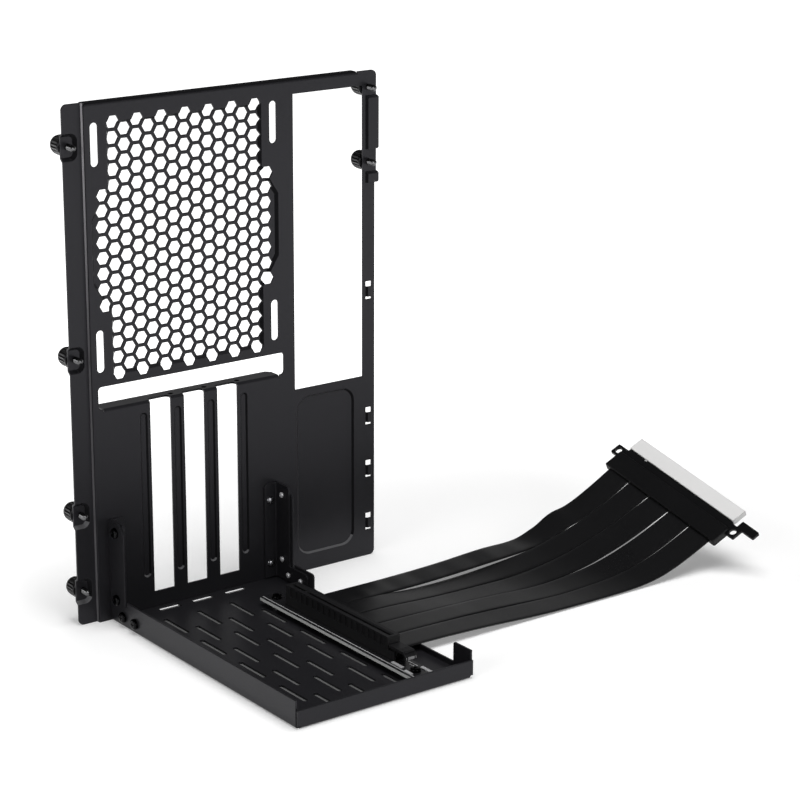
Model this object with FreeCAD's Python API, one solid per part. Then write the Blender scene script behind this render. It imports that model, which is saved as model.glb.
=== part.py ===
"""Upright graphics-card bracket: a folded rear panel, a card tray and a ribbon riser.

Millimetres, +Z up. The origin is the middle of the tray's underside. The panel stands behind
the tray, with its inner face towards -Y, and the ribbon runs out towards +X.
Pieces are drawn with y = 0 on the panel's inner face and moved to the origin when written.
"""
import FreeCAD
import Part
import math
import os

Vector = FreeCAD.Vector

# Sheet steel
sheet = 1.0
bend_radius = 0.6
bend_relief = 1.2
lip_relief = 0.5
hole_clearance = 0.05
seat_gap = 0.2

# Card tray
tray_width = 104.5
tray_front_margin = 5.0
left_wall_height = 14.2
front_wall_height = 9.4
ribbon_lip_height = 3.8
front_tab_height = 14.2
front_tab_length = 15.0
rear_lug_height = 12.0
rear_lug_length = 34.0
upright_height = 55.0
upright_depth = 14.8
upright_chamfer = 5.0
wall_corner_radius = 2.0
relief_width = 1.6
relief_depth = 2.4
vent_length = 23.0
vent_width = 2.6
vent_pitch_x = 20.2
vent_pitch_y = 35.4
vent_stagger_x = 8.2
vent_first_x = -30.8
vent_first_y = 29.0
vent_columns = 3
vent_rows = 4
tongue_hole_depth = 4.6
tongue_hole_start = 2.0

# Angle brackets between tray and panel
bracket_height = 55.0
bracket_flange = 8.2
bracket_web_depth = 13.2
bracket_foot_length = 30.0
bracket_foot_height = 10.5
bracket_floor_gap = 0.8
bracket_corner_radius = 2.5

# Rear panel
panel_height = 270.2
panel_right_x = 116.0
strip_reach = 1.0
joggle_x = -58.9
joggle_depth = 2.4
joggle_run = 0.4
flange_width = 10.9
panel_corner_radius = 3.0
hem_depth = 5.5
hem_right_x = 104.5

# Input and output opening, expansion slots and card-tab window
io_left_x = 63.9
io_top_margin = 7.75
io_width = 44.45
io_height = 158.75
slot_pitch = 20.32
slot_width = 12.4
slot_bottom = 9.5
slot_middle_x = 0.85
slot_count = 3
window_left_x = -55.6
window_right_x = 56.9
window_gap = 5.2
window_height = 11.9
window_radius = 2.0
ledge_depth = 10.0
ledge_end_gap = 3.2
ledge_chamfer = 2.5
ledge_notch = 4.0
ledge_notch_radius = 2.0
ledge_hole_radius = 1.5
ledge_hole_offset_x = 8.7
ledge_hole_y = 4.4

# Fan grille
fan_x = -1.0
fan_drop = 73.5
grille_drop = 1.3
fan_hole_pitch = 105.0
fan_slot_width = 4.4
fan_slot_length = 22.0
hex_pitch = 8.0
hex_flat = 6.3
hex_long_count = 17
hex_bulge_count = 8
hex_side_columns = 6
grille_half_width = 45.4
grille_half_height = 64.4
bulge_half_width = 55.4
bulge_base_half = 32.0
bulge_top_half = 16.5
grille_recess = 1.5

# Pressed ribs and the pressed field below the input and output opening
rib_width = 4.4
rib_bottom = 18.4
rib_top_gap = 5.9
rib_recess = 0.8
field_left_x = 65.0
field_right_x = 102.4
field_bottom = 9.2
field_top_gap = 4.5
field_radius = 8.0
field_recess = 1.0

# Latch bridges and guide tabs on the right-hand strip
bridge_heights = (151.4, 80.7, 50.4, 19.8)
bridge_width = 4.0
bridge_opening = 10.0
bridge_strap = 5.6
bridge_strap_drop = 0.5
bridge_rise = 1.3
guide_drops = (41.8, 59.8)
guide_lengths = (28.6, 6.0)
guide_inset = 6.0
guide_reach = 0.9
guide_rise = 1.2
guide_round = 1.0

# Captive thumbscrews and their pressed ears
left_screw_drop = 21.3
left_screw_heights = (141.2, 59.0, 18.2)
right_screw_drops = (8.8, 48.5)
left_screw_inset = 4.0
right_screw_inset = 5.1
ear_depth = 2.0
ear_pad_height = 10.4
ear_pad_length = 6.6
ear_slope_run = 1.6
ear_corner_radius = 2.2
thumb_head_radius = 5.1
thumb_head_length = 9.8
thumb_head_round = 1.6
thumb_flute_radius = 0.5
thumb_flute_count = 16
thumb_neck_radius = 1.45
thumb_neck_reach = 1.0
thumb_thread_radius = 1.75
thumb_tip_reach = 6.0
thumb_tip_chamfer = 0.6

# Fixed fasteners
screw_shank_radius = 1.5
screw_head_radius = 2.8
screw_head_height = 1.8
screw_tip_reach = 1.2
upright_screw_y = 6.8
upright_screw_heights = (49.5, 13.0)
foot_screw_height = 5.4
foot_screw_ys = (12.5, 24.0)
rivet_radius = 1.5
rivet_head_radius = 2.3
rivet_head_height = 1.3
rivet_inset = 4.6
rivet_heights = (45.6, 9.8)

# Riser board and card socket
card_plane_offset = 7.3
board_thickness = 1.6
board_height = 4.0
board_left_reach = 8.7
board_right_reach = 4.9
board_rear_y = 30.0
board_length = 135.0
board_screw_insets = (6.5, 8.0)
board_corner_radius = 1.0
board_screw_shift = 2.0
spacer_radius = 2.6
socket_rear_y = 47.5
socket_length = 89.0
socket_width = 7.5
socket_height = 11.25
card_thickness = 1.57
card_clearance = 0.1
card_depth = 8.6
card_short_length = 12.15
card_key = 1.7
socket_end_wall = 1.5
lead_in = 0.7
window_pitch = 4.9
window_count = 17
rib_window_width = 2.6
rib_window_height = 4.6
rib_window_depth = 0.45
rib_window_drop = 0.9
cheek_length = 5.0
cheek_height = 4.8
cheek_thickness = 1.3
latch_pin_radius = 0.9
latch_pin_forward = 2.6
latch_pin_height = 2.9
latch_body_gap = 0.5
latch_side_gap = 0.15
latch_pad_bottom = 6.0
latch_pad_thickness = 1.4
latch_pad_length = 14.0
latch_pad_width = 7.0
latch_stem_length = 3.6
latch_slope_run = 2.2
latch_lip_drop = 2.8
latch_lip_thickness = 1.0
latch_lip_slot = 0.6
latch_lip_slot_offset = 2.6
pin_pitch = 1.0
pin_width = 0.5
pin_length = 2.0
pin_height = 0.6
pin_counts = (9, 8, 6)
pin_offsets = (-4.9, 3.1, -6.4)
pin_insets = (22.8, 9.5, 10.5)

# Ribbon strips: stations along X and the height of each strip's middle there, back strip first
ribbon_count = 5
ribbon_width = 16.4
ribbon_thickness = 1.2
ribbon_pitch = 16.7
ribbon_middle_y = 87.1
ribbon_stations = (50.0, 72.0, 98.0, 126.0, 154.0, 178.0, 192.0, 204.0, 216.0, 232.0)
ribbon_heights = (
    (4.8, 4.3, 5.2, 6.6, 7.5, 7.7, 9.4, 13.9, 20.5, 28.6),
    (4.8, 4.4, 3.2, 1.9, 2.2, 3.6, 5.6, 9.2, 14.6, 23.0),
    (4.8, 3.9, 2.3, 1.2, 1.4, 2.6, 4.2, 6.8, 11.0, 18.6),
    (4.8, 3.6, 2.0, 0.8, 0.9, 1.7, 3.0, 5.2, 8.6, 15.4),
    (4.8, 3.4, 1.6, 0.65, 0.7, 1.0, 2.1, 3.9, 6.9, 12.6),
)
arc_share = 0.45

# Edge plug at the ribbon's far end
plug_x = 248.45
plug_z = 26.25
plug_pitch = 30.0
plug_roll = 13.0
cover_depth = 12.2
cover_half_width = 46.0
cover_thickness = 2.3
cover_chamfer = 0.4
cover_corner_radius = 0.8
plug_board_sunk = 9.0
plug_shoulder = 17.0
plug_edge = 25.4
plug_half_width = 43.6
finger_half_width = 42.4
finger_bevel = 0.8
key_from_end = 11.8
key_width = 1.9
key_depth = 9.0
ear_reach = 8.2
ear_bottom = 8.9
ear_top = 15.7
ear_hole_radius = 2.0
ear_round = 0.8
hook_start = 4.0
hook_reach = 17.0
hook_width = 5.1
cap_wall = 1.0
cap_clearance = 0.1

# Values that follow from the driving sizes
fold = sheet + bend_radius
half_tray = tray_width / 2
tray_depth = board_rear_y + board_length + tray_front_margin
io_bottom = panel_height - io_top_margin - io_height
fan_z = panel_height - fan_drop
grille_z = fan_z - grille_drop
window_bottom = grille_z - grille_half_height - window_gap - window_height
slot_centres = [slot_middle_x + slot_pitch * (n - (slot_count - 1) / 2) for n in range(slot_count)]
socket_x = slot_centres[-1] + card_plane_offset
board_top = board_height + board_thickness
flange_left_x = joggle_x - flange_width
strip_right_x = panel_right_x + strip_reach
far = 400.0


def box(x0, x1, y0, y1, z0, z1):
    """Box between two corners."""
    return Part.makeBox(x1 - x0, y1 - y0, z1 - z0, Vector(x0, y0, z0))


def on_xz(y):
    """Place outline points (x, z) on the plane at that y."""
    return lambda a, b: Vector(a, y, b)


def on_yz(x):
    """Place outline points (y, z) on the plane at that x."""
    return lambda a, b: Vector(x, a, b)


def on_xy(z):
    """Place outline points (x, y) on the plane at that z."""
    return lambda a, b: Vector(a, b, z)


def outline(points, place):
    """Closed wire through (a, b) or (a, b, radius) points, with each radius as a tangent arc."""
    corners = []
    count = len(points)
    for i, point in enumerate(points):
        here = Vector(point[0], point[1], 0)
        before = Vector(points[i - 1][0], points[i - 1][1], 0)
        after = Vector(points[(i + 1) % count][0], points[(i + 1) % count][1], 0)
        radius = point[2] if len(point) > 2 else 0
        to_before = (before - here).normalize()
        to_after = (after - here).normalize()
        if radius == 0:
            corners.append((here, None, here))
            continue
        half = to_before.getAngle(to_after) / 2
        reach = radius / math.tan(half)
        inward = (to_before + to_after).normalize()
        middle = here + inward * (radius / math.sin(half) - radius)
        corners.append((here + to_before * reach, middle, here + to_after * reach))
    edges = []
    for i, (start, middle, end) in enumerate(corners):
        if middle is not None:
            arc = Part.Arc(place(start.x, start.y), place(middle.x, middle.y), place(end.x, end.y))
            edges.append(arc.toShape())
        following = corners[(i + 1) % count][0]
        if (following - end).Length > 1e-6:
            edges.append(Part.makeLine(place(end.x, end.y), place(following.x, following.y)))
    return Part.Wire(edges)


def prism(points, place, along):
    """Solid of a rounded outline, pushed along a vector."""
    return Part.Face(outline(points, place)).extrude(along)


def rectangle(a0, a1, b0, b1, radius=0):
    """Corner points of a rectangle with one corner radius."""
    return [(a0, b0, radius), (a1, b0, radius), (a1, b1, radius), (a0, b1, radius)]


def cylinder(start, axis, length, radius):
    """Round bar from a point along an axis."""
    return Part.makeCylinder(radius, length, start, axis)


def turned(profile, start, axis):
    """Solid turned from (distance along axis, radius) points."""
    points = [Vector(r, 0, d) for d, r in profile]
    wire = Part.makePolygon(points + [points[0]])
    solid = Part.Face(wire).revolve(Vector(0, 0, 0), Vector(0, 0, 1), 360)
    solid.Placement = FreeCAD.Placement(start, FreeCAD.Rotation(Vector(0, 0, 1), axis))
    return solid


def fused(shapes):
    """One clean solid from shapes that meet."""
    return shapes[0].multiFuse(shapes[1:]).removeSplitter()


def mirrored(shape):
    """The same shape on the other side of the tray's centre line."""
    return shape.mirror(Vector(0, 0, 0), Vector(1, 0, 0))


def folded_lip(height, depth, x0, x1):
    """Lip folded rearwards from the panel at a height, with round inner and outer bends."""
    top = height
    low = height - fold
    turn = math.sqrt(0.5)
    place = on_yz(x0)
    outer_mid = (fold - fold * turn, low + fold * turn)
    inner_mid = (fold - bend_radius * turn, low + bend_radius * turn)
    edges = [
        Part.Arc(place(0, low), place(*outer_mid), place(fold, top)).toShape(),
        Part.makeLine(place(fold, top), place(depth, top)),
        Part.makeLine(place(depth, top), place(depth, top - sheet)),
        Part.makeLine(place(depth, top - sheet), place(fold, top - sheet)),
        Part.Arc(place(fold, top - sheet), place(*inner_mid), place(sheet, low)).toShape(),
        Part.makeLine(place(sheet, low), place(0, low)),
    ]
    return Part.Face(Part.Wire(edges)).extrude(Vector(x1 - x0, 0, 0))


def pressing(mouth, floor, depth, run, y):
    """Pressed recess: the metal behind it and the hollow in front, from two like outlines.

    mouth and floor are functions that give the outline, grown outwards by an amount.
    """
    grow = sheet * math.tan(math.atan2(depth, run) / 2)
    back = [outline(mouth(grow), on_xz(y + sheet)), outline(floor(grow), on_xz(y + sheet + depth))]
    front = [outline(mouth(0), on_xz(y)), outline(floor(0), on_xz(y + depth))]
    return Part.makeLoft(back, True, True), Part.makeLoft(front, True, True)


def grille_outline(inset):
    """Outline of the grille's recess: a tall rectangle with a trapezoid bulge on each side."""
    def points(grow):
        w = grille_half_width - inset + grow
        h = grille_half_height - inset + grow
        b = bulge_half_width - inset + grow
        base = bulge_base_half - inset / 2 + grow / 2
        top = bulge_top_half - inset / 2 + grow / 2
        right = [(w, -h), (w, -base), (b, -top), (b, top), (w, base), (w, h)]
        left = [(-x, z) for x, z in reversed(right)]
        return [(fan_x + x, grille_z + z) for x, z in right + left]
    return points


def round_outline(x0, x1, z0, z1, radius, inset):
    """Outline of a pressed recess with round corners."""
    def points(grow):
        shift = grow - inset
        return rectangle(x0 - shift, x1 + shift, z0 - shift, z1 + shift, radius + shift)
    return points


def ear_outline(edge_x, z, inset):
    """Outline of a thumbscrew ear: open at the sheet's left edge, round at its inner end."""
    def points(grow):
        shift = ear_slope_run + grow - inset
        half = ear_pad_height / 2 + shift
        inner = edge_x + ear_pad_length + shift
        outer = edge_x - ear_pad_length
        radius = ear_corner_radius + shift
        return [
            (outer, z - half), (inner, z - half, radius),
            (inner, z + half, radius), (outer, z + half)]
    return points


def hexagon(x, z):
    """Hexagon with flat top and bottom, as a bar through the panel."""
    corner = hex_flat / math.sqrt(3)
    points = []
    for n in range(6):
        angle = math.radians(60 * n)
        points.append((x + corner * math.cos(angle), z + corner * math.sin(angle)))
    thick = sheet + grille_recess
    return prism(points, on_xz(-sheet), Vector(0, thick + 2 * sheet, 0))


def honeycomb():
    """All the grille's hexagons: staggered columns about the grille's middle, short ones at the sides."""
    column_pitch = hex_pitch * math.sqrt(3) / 2
    cells = []
    for column in range(-hex_side_columns - 1, hex_side_columns + 2):
        offset_row = column % 2
        count = hex_long_count - offset_row
        if abs(column) > hex_side_columns:
            count = hex_bulge_count
        for row in range(count):
            z = grille_z + hex_pitch * (row - (count - 1) / 2)
            cells.append(hexagon(fan_x + column * column_pitch, z))
    return cells


def slotted_hole(x, z, width, length, y0, y1):
    """Upright slot with round ends, as a bar from y0 to y1."""
    points = rectangle(x - width / 2, x + width / 2, z - length / 2, z + length / 2, width / 2 * 0.999)
    return prism(points, on_xz(y0), Vector(0, y1 - y0, 0))


def screw_places():
    """Each thumbscrew: its name, axis x, height, the sheet's inner face and its ear's depth."""
    places = []
    left_heights = (panel_height - left_screw_drop,) + left_screw_heights
    left_x = flange_left_x + left_screw_inset
    right_x = strip_right_x - right_screw_inset
    for n, z in enumerate(left_heights):
        places.append((f"thumbscrew_left_{n + 1}", left_x, z, joggle_depth, ear_depth))
    for n, drop in enumerate(right_screw_drops):
        places.append((f"thumbscrew_right_{n + 1}", right_x, panel_height - drop, 0.0, 0.0))
    return places


def panel_blank():
    """Flat panel with its joggled left flange, its rounded outline wider at the guide tabs."""
    mitre = sheet * math.tan(math.atan2(joggle_depth, joggle_run) / 2)
    step_x = joggle_x - joggle_run
    section = [
        (strip_right_x, 0), (joggle_x, 0), (step_x, joggle_depth),
        (flange_left_x, joggle_depth), (flange_left_x, joggle_depth + sheet),
        (step_x + mitre, joggle_depth + sheet), (joggle_x + mitre, sheet), (strip_right_x, sheet)]
    strip = prism(section, on_xy(0), Vector(0, 0, panel_height))
    r = panel_corner_radius
    strip_bottom = panel_height - guide_drops[-1]
    shape = [
        (flange_left_x, 0, r), (panel_right_x, 0, r),
        (panel_right_x, strip_bottom), (strip_right_x, strip_bottom),
        (strip_right_x, panel_height, r), (flange_left_x, panel_height, r)]
    thick = joggle_depth + 4 * sheet
    return strip.common(prism(shape, on_xz(-sheet), Vector(0, thick, 0)))


def bridge(z):
    """Strap of a latch bridge, bowed towards the tray between its two sides."""
    left = panel_right_x - (panel_right_x - io_left_x - io_width) / 2 - bridge_width / 2
    right = left + bridge_width
    lean = bridge_rise * 0.6
    section = [
        (left, 0), (left + lean, -bridge_rise), (right - lean, -bridge_rise), (right, 0),
        (right, sheet), (right - lean, sheet - bridge_rise),
        (left + lean, sheet - bridge_rise), (left, sheet)]
    strap_middle = z - bridge_strap_drop
    strap = prism(section, on_xy(strap_middle - bridge_strap / 2), Vector(0, 0, bridge_strap))
    half = bridge_opening / 2
    opening = box(left, right, -sheet, 2 * sheet, z - half, z + half)
    return strap, opening


def guide_tab(z, length):
    """Guide tab at the right edge, stepped towards the tray, with a ramp at its upper end."""
    inner = panel_right_x - guide_inset
    outer = strip_right_x + guide_reach
    top = z + length
    rise = guide_rise
    section = [
        (inner, 0), (inner + rise, -rise), (outer, -rise),
        (outer, sheet - rise), (inner + rise, sheet - rise), (inner + rise, sheet), (inner, sheet)]
    tab = prism(section, on_xy(z), Vector(0, 0, length - rise))
    slope = [(-rise, top - rise), (0, top), (sheet, top), (sheet, top - rise)]
    ramp = prism(slope, on_yz(inner), Vector(outer - inner, 0, 0))
    side = [(inner, 0), (inner + rise, -rise), (outer, -rise), (outer, sheet), (inner, sheet)]
    ramp = ramp.common(prism(side, on_xy(top - rise), Vector(0, 0, rise)))
    keep = rectangle(inner - 2 * guide_round, outer, z, top, guide_round)
    return fused([tab, ramp]).common(prism(keep, on_xz(-far), Vector(0, 2 * far, 0)))


def make_rear_panel():
    """Folded rear panel with grille, openings, pressings, ears, ledge and hem."""
    metal = [panel_blank()]
    hollow = []
    cuts = []

    def press(mouth, floor, depth, run, y=0.0):
        solid, space = pressing(mouth, floor, depth, run, y)
        metal.append(solid)
        hollow.append(space)

    press(grille_outline(0), grille_outline(grille_recess), grille_recess, grille_recess)
    rib_top = window_bottom - rib_top_gap
    rib_xs = [x - slot_pitch / 2 for x in slot_centres] + [slot_centres[-1] + slot_pitch / 2]
    for x in rib_xs:
        half = rib_width / 2
        size = (x - half, x + half, rib_bottom, rib_top, half * 0.999)
        press(round_outline(*size, 0), round_outline(*size, rib_recess), rib_recess, rib_recess)
    field_top = io_bottom - field_top_gap
    size = (field_left_x, field_right_x, field_bottom, field_top, field_radius)
    press(round_outline(*size, 0), round_outline(*size, field_recess), field_recess, field_recess)

    for _, axis_x, z, y, depth in screw_places():
        if depth > 0:
            keep = box(flange_left_x, far, -far, far, -far, far)
            back, front = pressing(
                ear_outline(flange_left_x, z, 0), ear_outline(flange_left_x, z, ear_slope_run),
                depth, ear_slope_run, y)
            metal.append(back.common(keep))
            hollow.append(front)
        radius = thumb_neck_radius + hole_clearance
        cuts.append(cylinder(Vector(axis_x, y - sheet, z), Vector(0, 1, 0), depth + 4 * sheet, radius))

    lips = []
    hem_left_x = joggle_x + lip_relief
    ledge_left_x = window_left_x + ledge_end_gap
    ledge_right_x = window_right_x - ledge_end_gap
    lips.append((panel_height, hem_depth, hem_left_x, hem_right_x))
    lips.append((window_bottom, ledge_depth, ledge_left_x, ledge_right_x))
    trims = []
    for height, _, x0, x1 in lips:
        left = x0 - lip_relief
        right = x1 + lip_relief
        trims.append(box(left, right, -sheet, 2 * sheet, height - fold, height + sheet))
    window = rectangle(
        window_left_x, window_right_x, window_bottom, window_bottom + window_height, window_radius)
    trims.append(prism(window, on_xz(-sheet), Vector(0, 3 * sheet, 0)))
    io_right_x = io_left_x + io_width
    trims.append(box(io_left_x, io_right_x, -far, far, io_bottom, io_bottom + io_height))

    panel = fused(metal).cut(Part.makeCompound(hollow))
    panel = panel.cut(Part.makeCompound(trims))
    added = [folded_lip(*lip) for lip in lips]
    for z in bridge_heights:
        strap, opening = bridge(z)
        panel = panel.cut(opening)
        added.append(strap)
    for drop, length in zip(guide_drops, guide_lengths):
        z = panel_height - drop
        inner = panel_right_x - guide_inset
        panel = panel.cut(box(inner, far, -sheet, 2 * sheet, z, z + length - guide_rise))
        added.append(guide_tab(z, length))
    panel = fused([panel] + added)

    for x in (ledge_left_x, ledge_right_x):
        side = 1 if x > 0 else -1
        outside = x + side * sheet
        corner = [
            (x, ledge_depth - ledge_chamfer), (outside, ledge_depth - ledge_chamfer),
            (outside, ledge_depth + sheet), (x - side * ledge_chamfer, ledge_depth + sheet),
            (x - side * ledge_chamfer, ledge_depth)]
        cuts.append(prism(corner, on_xy(window_bottom - fold), Vector(0, 0, 2 * fold)))
    for x in slot_centres:
        half = slot_width / 2
        cuts.append(box(x - half, x + half, -sheet, fold, slot_bottom, window_bottom + sheet))
        r = ledge_notch_radius
        notch = [(x - half, 0), (x + half, 0), (x + half, ledge_notch, r), (x - half, ledge_notch, r)]
        cuts.append(prism(notch, on_xy(window_bottom - 2 * sheet), Vector(0, 0, 3 * sheet)))
        hole = Vector(x + ledge_hole_offset_x, ledge_hole_y, window_bottom - 2 * sheet)
        cuts.append(cylinder(hole, Vector(0, 0, 1), 3 * sheet, ledge_hole_radius))
    half = fan_hole_pitch / 2
    for x in (fan_x - half, fan_x + half):
        for z in (fan_z - half, fan_z + half):
            cuts.append(slotted_hole(x, z, fan_slot_width, fan_slot_length, -sheet, 2 * sheet))
    for x, z in rivet_places():
        radius = rivet_radius + hole_clearance
        cuts.append(cylinder(Vector(x, -sheet, z), Vector(0, 1, 0), 3 * sheet, radius))
    cuts += honeycomb()
    return panel.cut(Part.makeCompound(cuts)).removeSplitter()


def rivet_places():
    """Rivet axes that hold the two brackets to the panel."""
    x = half_tray - sheet - rivet_inset
    return [(side * x, z) for side in (-1, 1) for z in rivet_heights]


def screw_axes():
    """Distance in front of the panel and height of each tray screw on one side."""
    uprights = [(upright_screw_y, z) for z in upright_screw_heights]
    feet = [(y, foot_screw_height) for y in foot_screw_ys]
    return uprights + feet


def upright_points(wall_height):
    """Upright part of a side wall's outline: a notch at its foot, then up to its top."""
    relief_y = -upright_depth - relief_width
    relief_z = wall_height - relief_depth
    r = relief_width / 3
    return [
        (relief_y, wall_height), (relief_y, relief_z, r), (-upright_depth, relief_z, r),
        (-upright_depth, upright_height - upright_chamfer),
        (-upright_depth + upright_chamfer, upright_height),
        (0, upright_height), (0, 0)]


def tray_side(wall):
    """Left half of the tray's sheet: floor, fold and side wall, cut to the wall's outline."""
    turn = math.sqrt(0.5)
    place = on_xz(-tray_depth)
    x = -half_tray
    tall = upright_height
    outer_mid = (x + fold - fold * turn, fold - fold * turn)
    inner_mid = (x + fold - bend_radius * turn, fold - bend_radius * turn)
    edges = [
        Part.makeLine(place(0, 0), place(x + fold, 0)),
        Part.Arc(place(x + fold, 0), place(*outer_mid), place(x, fold)).toShape(),
        Part.makeLine(place(x, fold), place(x, tall)),
        Part.makeLine(place(x, tall), place(x + sheet, tall)),
        Part.makeLine(place(x + sheet, tall), place(x + sheet, fold)),
        Part.Arc(place(x + sheet, fold), place(*inner_mid), place(x + fold, sheet)).toShape(),
        Part.makeLine(place(x + fold, sheet), place(0, sheet)),
        Part.makeLine(place(0, sheet), place(0, 0)),
    ]
    strip = Part.Face(Part.Wire(edges)).extrude(Vector(0, tray_depth, 0))
    return strip.common(prism(wall, on_yz(x - sheet), Vector(half_tray + 2 * sheet, 0, 0)))


def make_card_tray():
    """Folded tray: vented floor, low front wall, side walls with uprights, lip and front tab."""
    r = wall_corner_radius
    front = -tray_depth
    left_wall = [(front, 0), (front, left_wall_height)] + upright_points(left_wall_height)
    tab_end = front + front_tab_length
    right_wall = [
        (front, 0), (front, front_tab_height, r), (tab_end, front_tab_height, r / 2),
        (tab_end, ribbon_lip_height, r / 2), (-rear_lug_length, ribbon_lip_height, r / 2),
        (-rear_lug_length, rear_lug_height, r)] + upright_points(rear_lug_height)
    tray = fused([tray_side(left_wall), mirrored(tray_side(right_wall))])

    edge = half_tray - bend_relief / 4
    corner = half_tray - fold - bend_relief / 4
    side_end = front + sheet + bend_relief / 4
    cuts = [
        box(-corner, corner, front - sheet, front + fold, -sheet, fold),
        box(-far, -corner, front - sheet, side_end, -sheet, far),
        box(corner, far, front - sheet, side_end, -sheet, far),
        box(-far, -corner, front - sheet, front + fold, -sheet, fold),
        box(corner, far, front - sheet, front + fold, -sheet, fold),
    ]
    tray = tray.cut(Part.makeCompound(cuts))
    turn = math.sqrt(0.5)
    place = on_yz(-corner)
    tall = front_wall_height
    outer_mid = (front + fold - fold * turn, fold - fold * turn)
    inner_mid = (front + fold - bend_radius * turn, fold - bend_radius * turn)
    edges = [
        Part.Arc(place(front + fold, 0), place(*outer_mid), place(front, fold)).toShape(),
        Part.makeLine(place(front, fold), place(front, tall)),
        Part.makeLine(place(front, tall), place(front + sheet, tall)),
        Part.makeLine(place(front + sheet, tall), place(front + sheet, fold)),
        Part.Arc(place(front + sheet, fold), place(*inner_mid), place(front + fold, sheet)).toShape(),
        Part.makeLine(place(front + fold, sheet), place(front + fold, 0)),
    ]
    front_fold = Part.Face(Part.Wire(edges)).extrude(Vector(2 * corner, 0, 0))
    front_ends = rectangle(-edge, edge, fold, tall, 0)
    front_wall = prism(front_ends, on_xz(front), Vector(0, sheet, 0))
    tray = fused([tray, front_fold, front_wall])

    holes = []
    for staggered in (0, 1):
        for column in range(vent_columns):
            x = vent_first_x + vent_pitch_x * column + vent_stagger_x * staggered
            for row in range(vent_rows):
                y = -vent_first_y - vent_pitch_y * (row + staggered / 2)
                shape = rectangle(
                    x - vent_width / 2, x + vent_width / 2, y - vent_length / 2, y + vent_length / 2,
                    vent_width / 2 * 0.999)
                holes.append(prism(shape, on_xy(-sheet), Vector(0, 0, 3 * sheet)))
    for x in slot_centres:
        half = slot_width / 2
        y = -tongue_hole_start
        holes.append(box(x - half, x + half, y - tongue_hole_depth, y, -sheet, 2 * sheet))
    radius = screw_shank_radius + hole_clearance
    for y, z in screw_axes():
        holes.append(cylinder(Vector(-half_tray - sheet, -y, z), Vector(1, 0, 0), 3 * sheet, radius))
        holes.append(cylinder(Vector(half_tray - 2 * sheet, -y, z), Vector(1, 0, 0), 3 * sheet, radius))
    for x, y in board_screw_places():
        holes.append(cylinder(Vector(x, y, -sheet), Vector(0, 0, 1), 3 * sheet, radius))
    return tray.cut(Part.makeCompound(holes))


def make_right_bracket():
    """Right-hand angle bracket: a flange riveted to the panel, a web and a foot on the wall."""
    turn = math.sqrt(0.5)
    place = on_xy(sheet + bracket_floor_gap)
    x = half_tray - sheet
    flange_end = x - bracket_flange
    length = bracket_foot_length
    outer_mid = (x - fold + fold * turn, -fold + fold * turn)
    inner_mid = (x - fold + bend_radius * turn, -fold + bend_radius * turn)
    edges = [
        Part.makeLine(place(flange_end, 0), place(x - fold, 0)),
        Part.Arc(place(x - fold, 0), place(*outer_mid), place(x, -fold)).toShape(),
        Part.makeLine(place(x, -fold), place(x, -length)),
        Part.makeLine(place(x, -length), place(x - sheet, -length)),
        Part.makeLine(place(x - sheet, -length), place(x - sheet, -fold)),
        Part.Arc(place(x - sheet, -fold), place(*inner_mid), place(x - fold, -sheet)).toShape(),
        Part.makeLine(place(x - fold, -sheet), place(flange_end, -sheet)),
        Part.makeLine(place(flange_end, -sheet), place(flange_end, 0)),
    ]
    low = sheet + bracket_floor_gap
    strip = Part.Face(Part.Wire(edges)).extrude(Vector(0, 0, bracket_height - low))
    r = bracket_corner_radius
    web = [
        (0, low), (-length, low), (-length, bracket_foot_height, r),
        (-bracket_web_depth, bracket_foot_height, r / 2), (-bracket_web_depth, bracket_height, r),
        (0, bracket_height)]
    flange = [
        (flange_end, low), (x, low), (x, bracket_height), (flange_end, bracket_height, r)]
    strip = strip.common(prism(web, on_yz(-far), Vector(2 * far, 0, 0)))
    strip = strip.common(prism(flange, on_xz(-far), Vector(0, 2 * far, 0)))
    holes = []
    for y, z in screw_axes():
        start = Vector(x - 2 * sheet, -y, z)
        holes.append(cylinder(start, Vector(1, 0, 0), 3 * sheet, screw_shank_radius + hole_clearance))
    for rivet_x, z in rivet_places():
        start = Vector(rivet_x, -2 * sheet, z)
        holes.append(cylinder(start, Vector(0, 1, 0), 3 * sheet, rivet_radius + hole_clearance))
    return strip.cut(Part.makeCompound(holes))


def make_tray_screws():
    """Screws that hold the tray's walls to the brackets, heads outside."""
    grip = 2 * sheet + screw_tip_reach
    profile = [
        (-screw_head_height, 0), (-screw_head_height, screw_head_radius), (0, screw_head_radius),
        (0, screw_shank_radius), (grip, screw_shank_radius), (grip, 0)]
    screws = []
    for side in (-1, 1):
        for y, z in screw_axes():
            screws.append(turned(profile, Vector(side * half_tray, -y, z), Vector(-side, 0, 0)))
    return Part.makeCompound(screws)


def make_panel_rivets():
    """Rivets through the brackets' flanges and the panel, dome heads in front."""
    rivets = []
    for x, z in rivet_places():
        front = Vector(x, -sheet, z)
        crown = rivet_head_radius / 2
        tail = 2 * sheet
        profile = [
            (-rivet_head_height, 0), (-rivet_head_height, crown), (0, rivet_head_radius),
            (0, rivet_radius), (tail, rivet_radius), (tail, rivet_head_radius),
            (tail + rivet_head_height / 2, crown), (tail + rivet_head_height / 2, 0)]
        rivets.append(turned(profile, front, Vector(0, 1, 0)))
    return Part.makeCompound(rivets)


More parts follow.
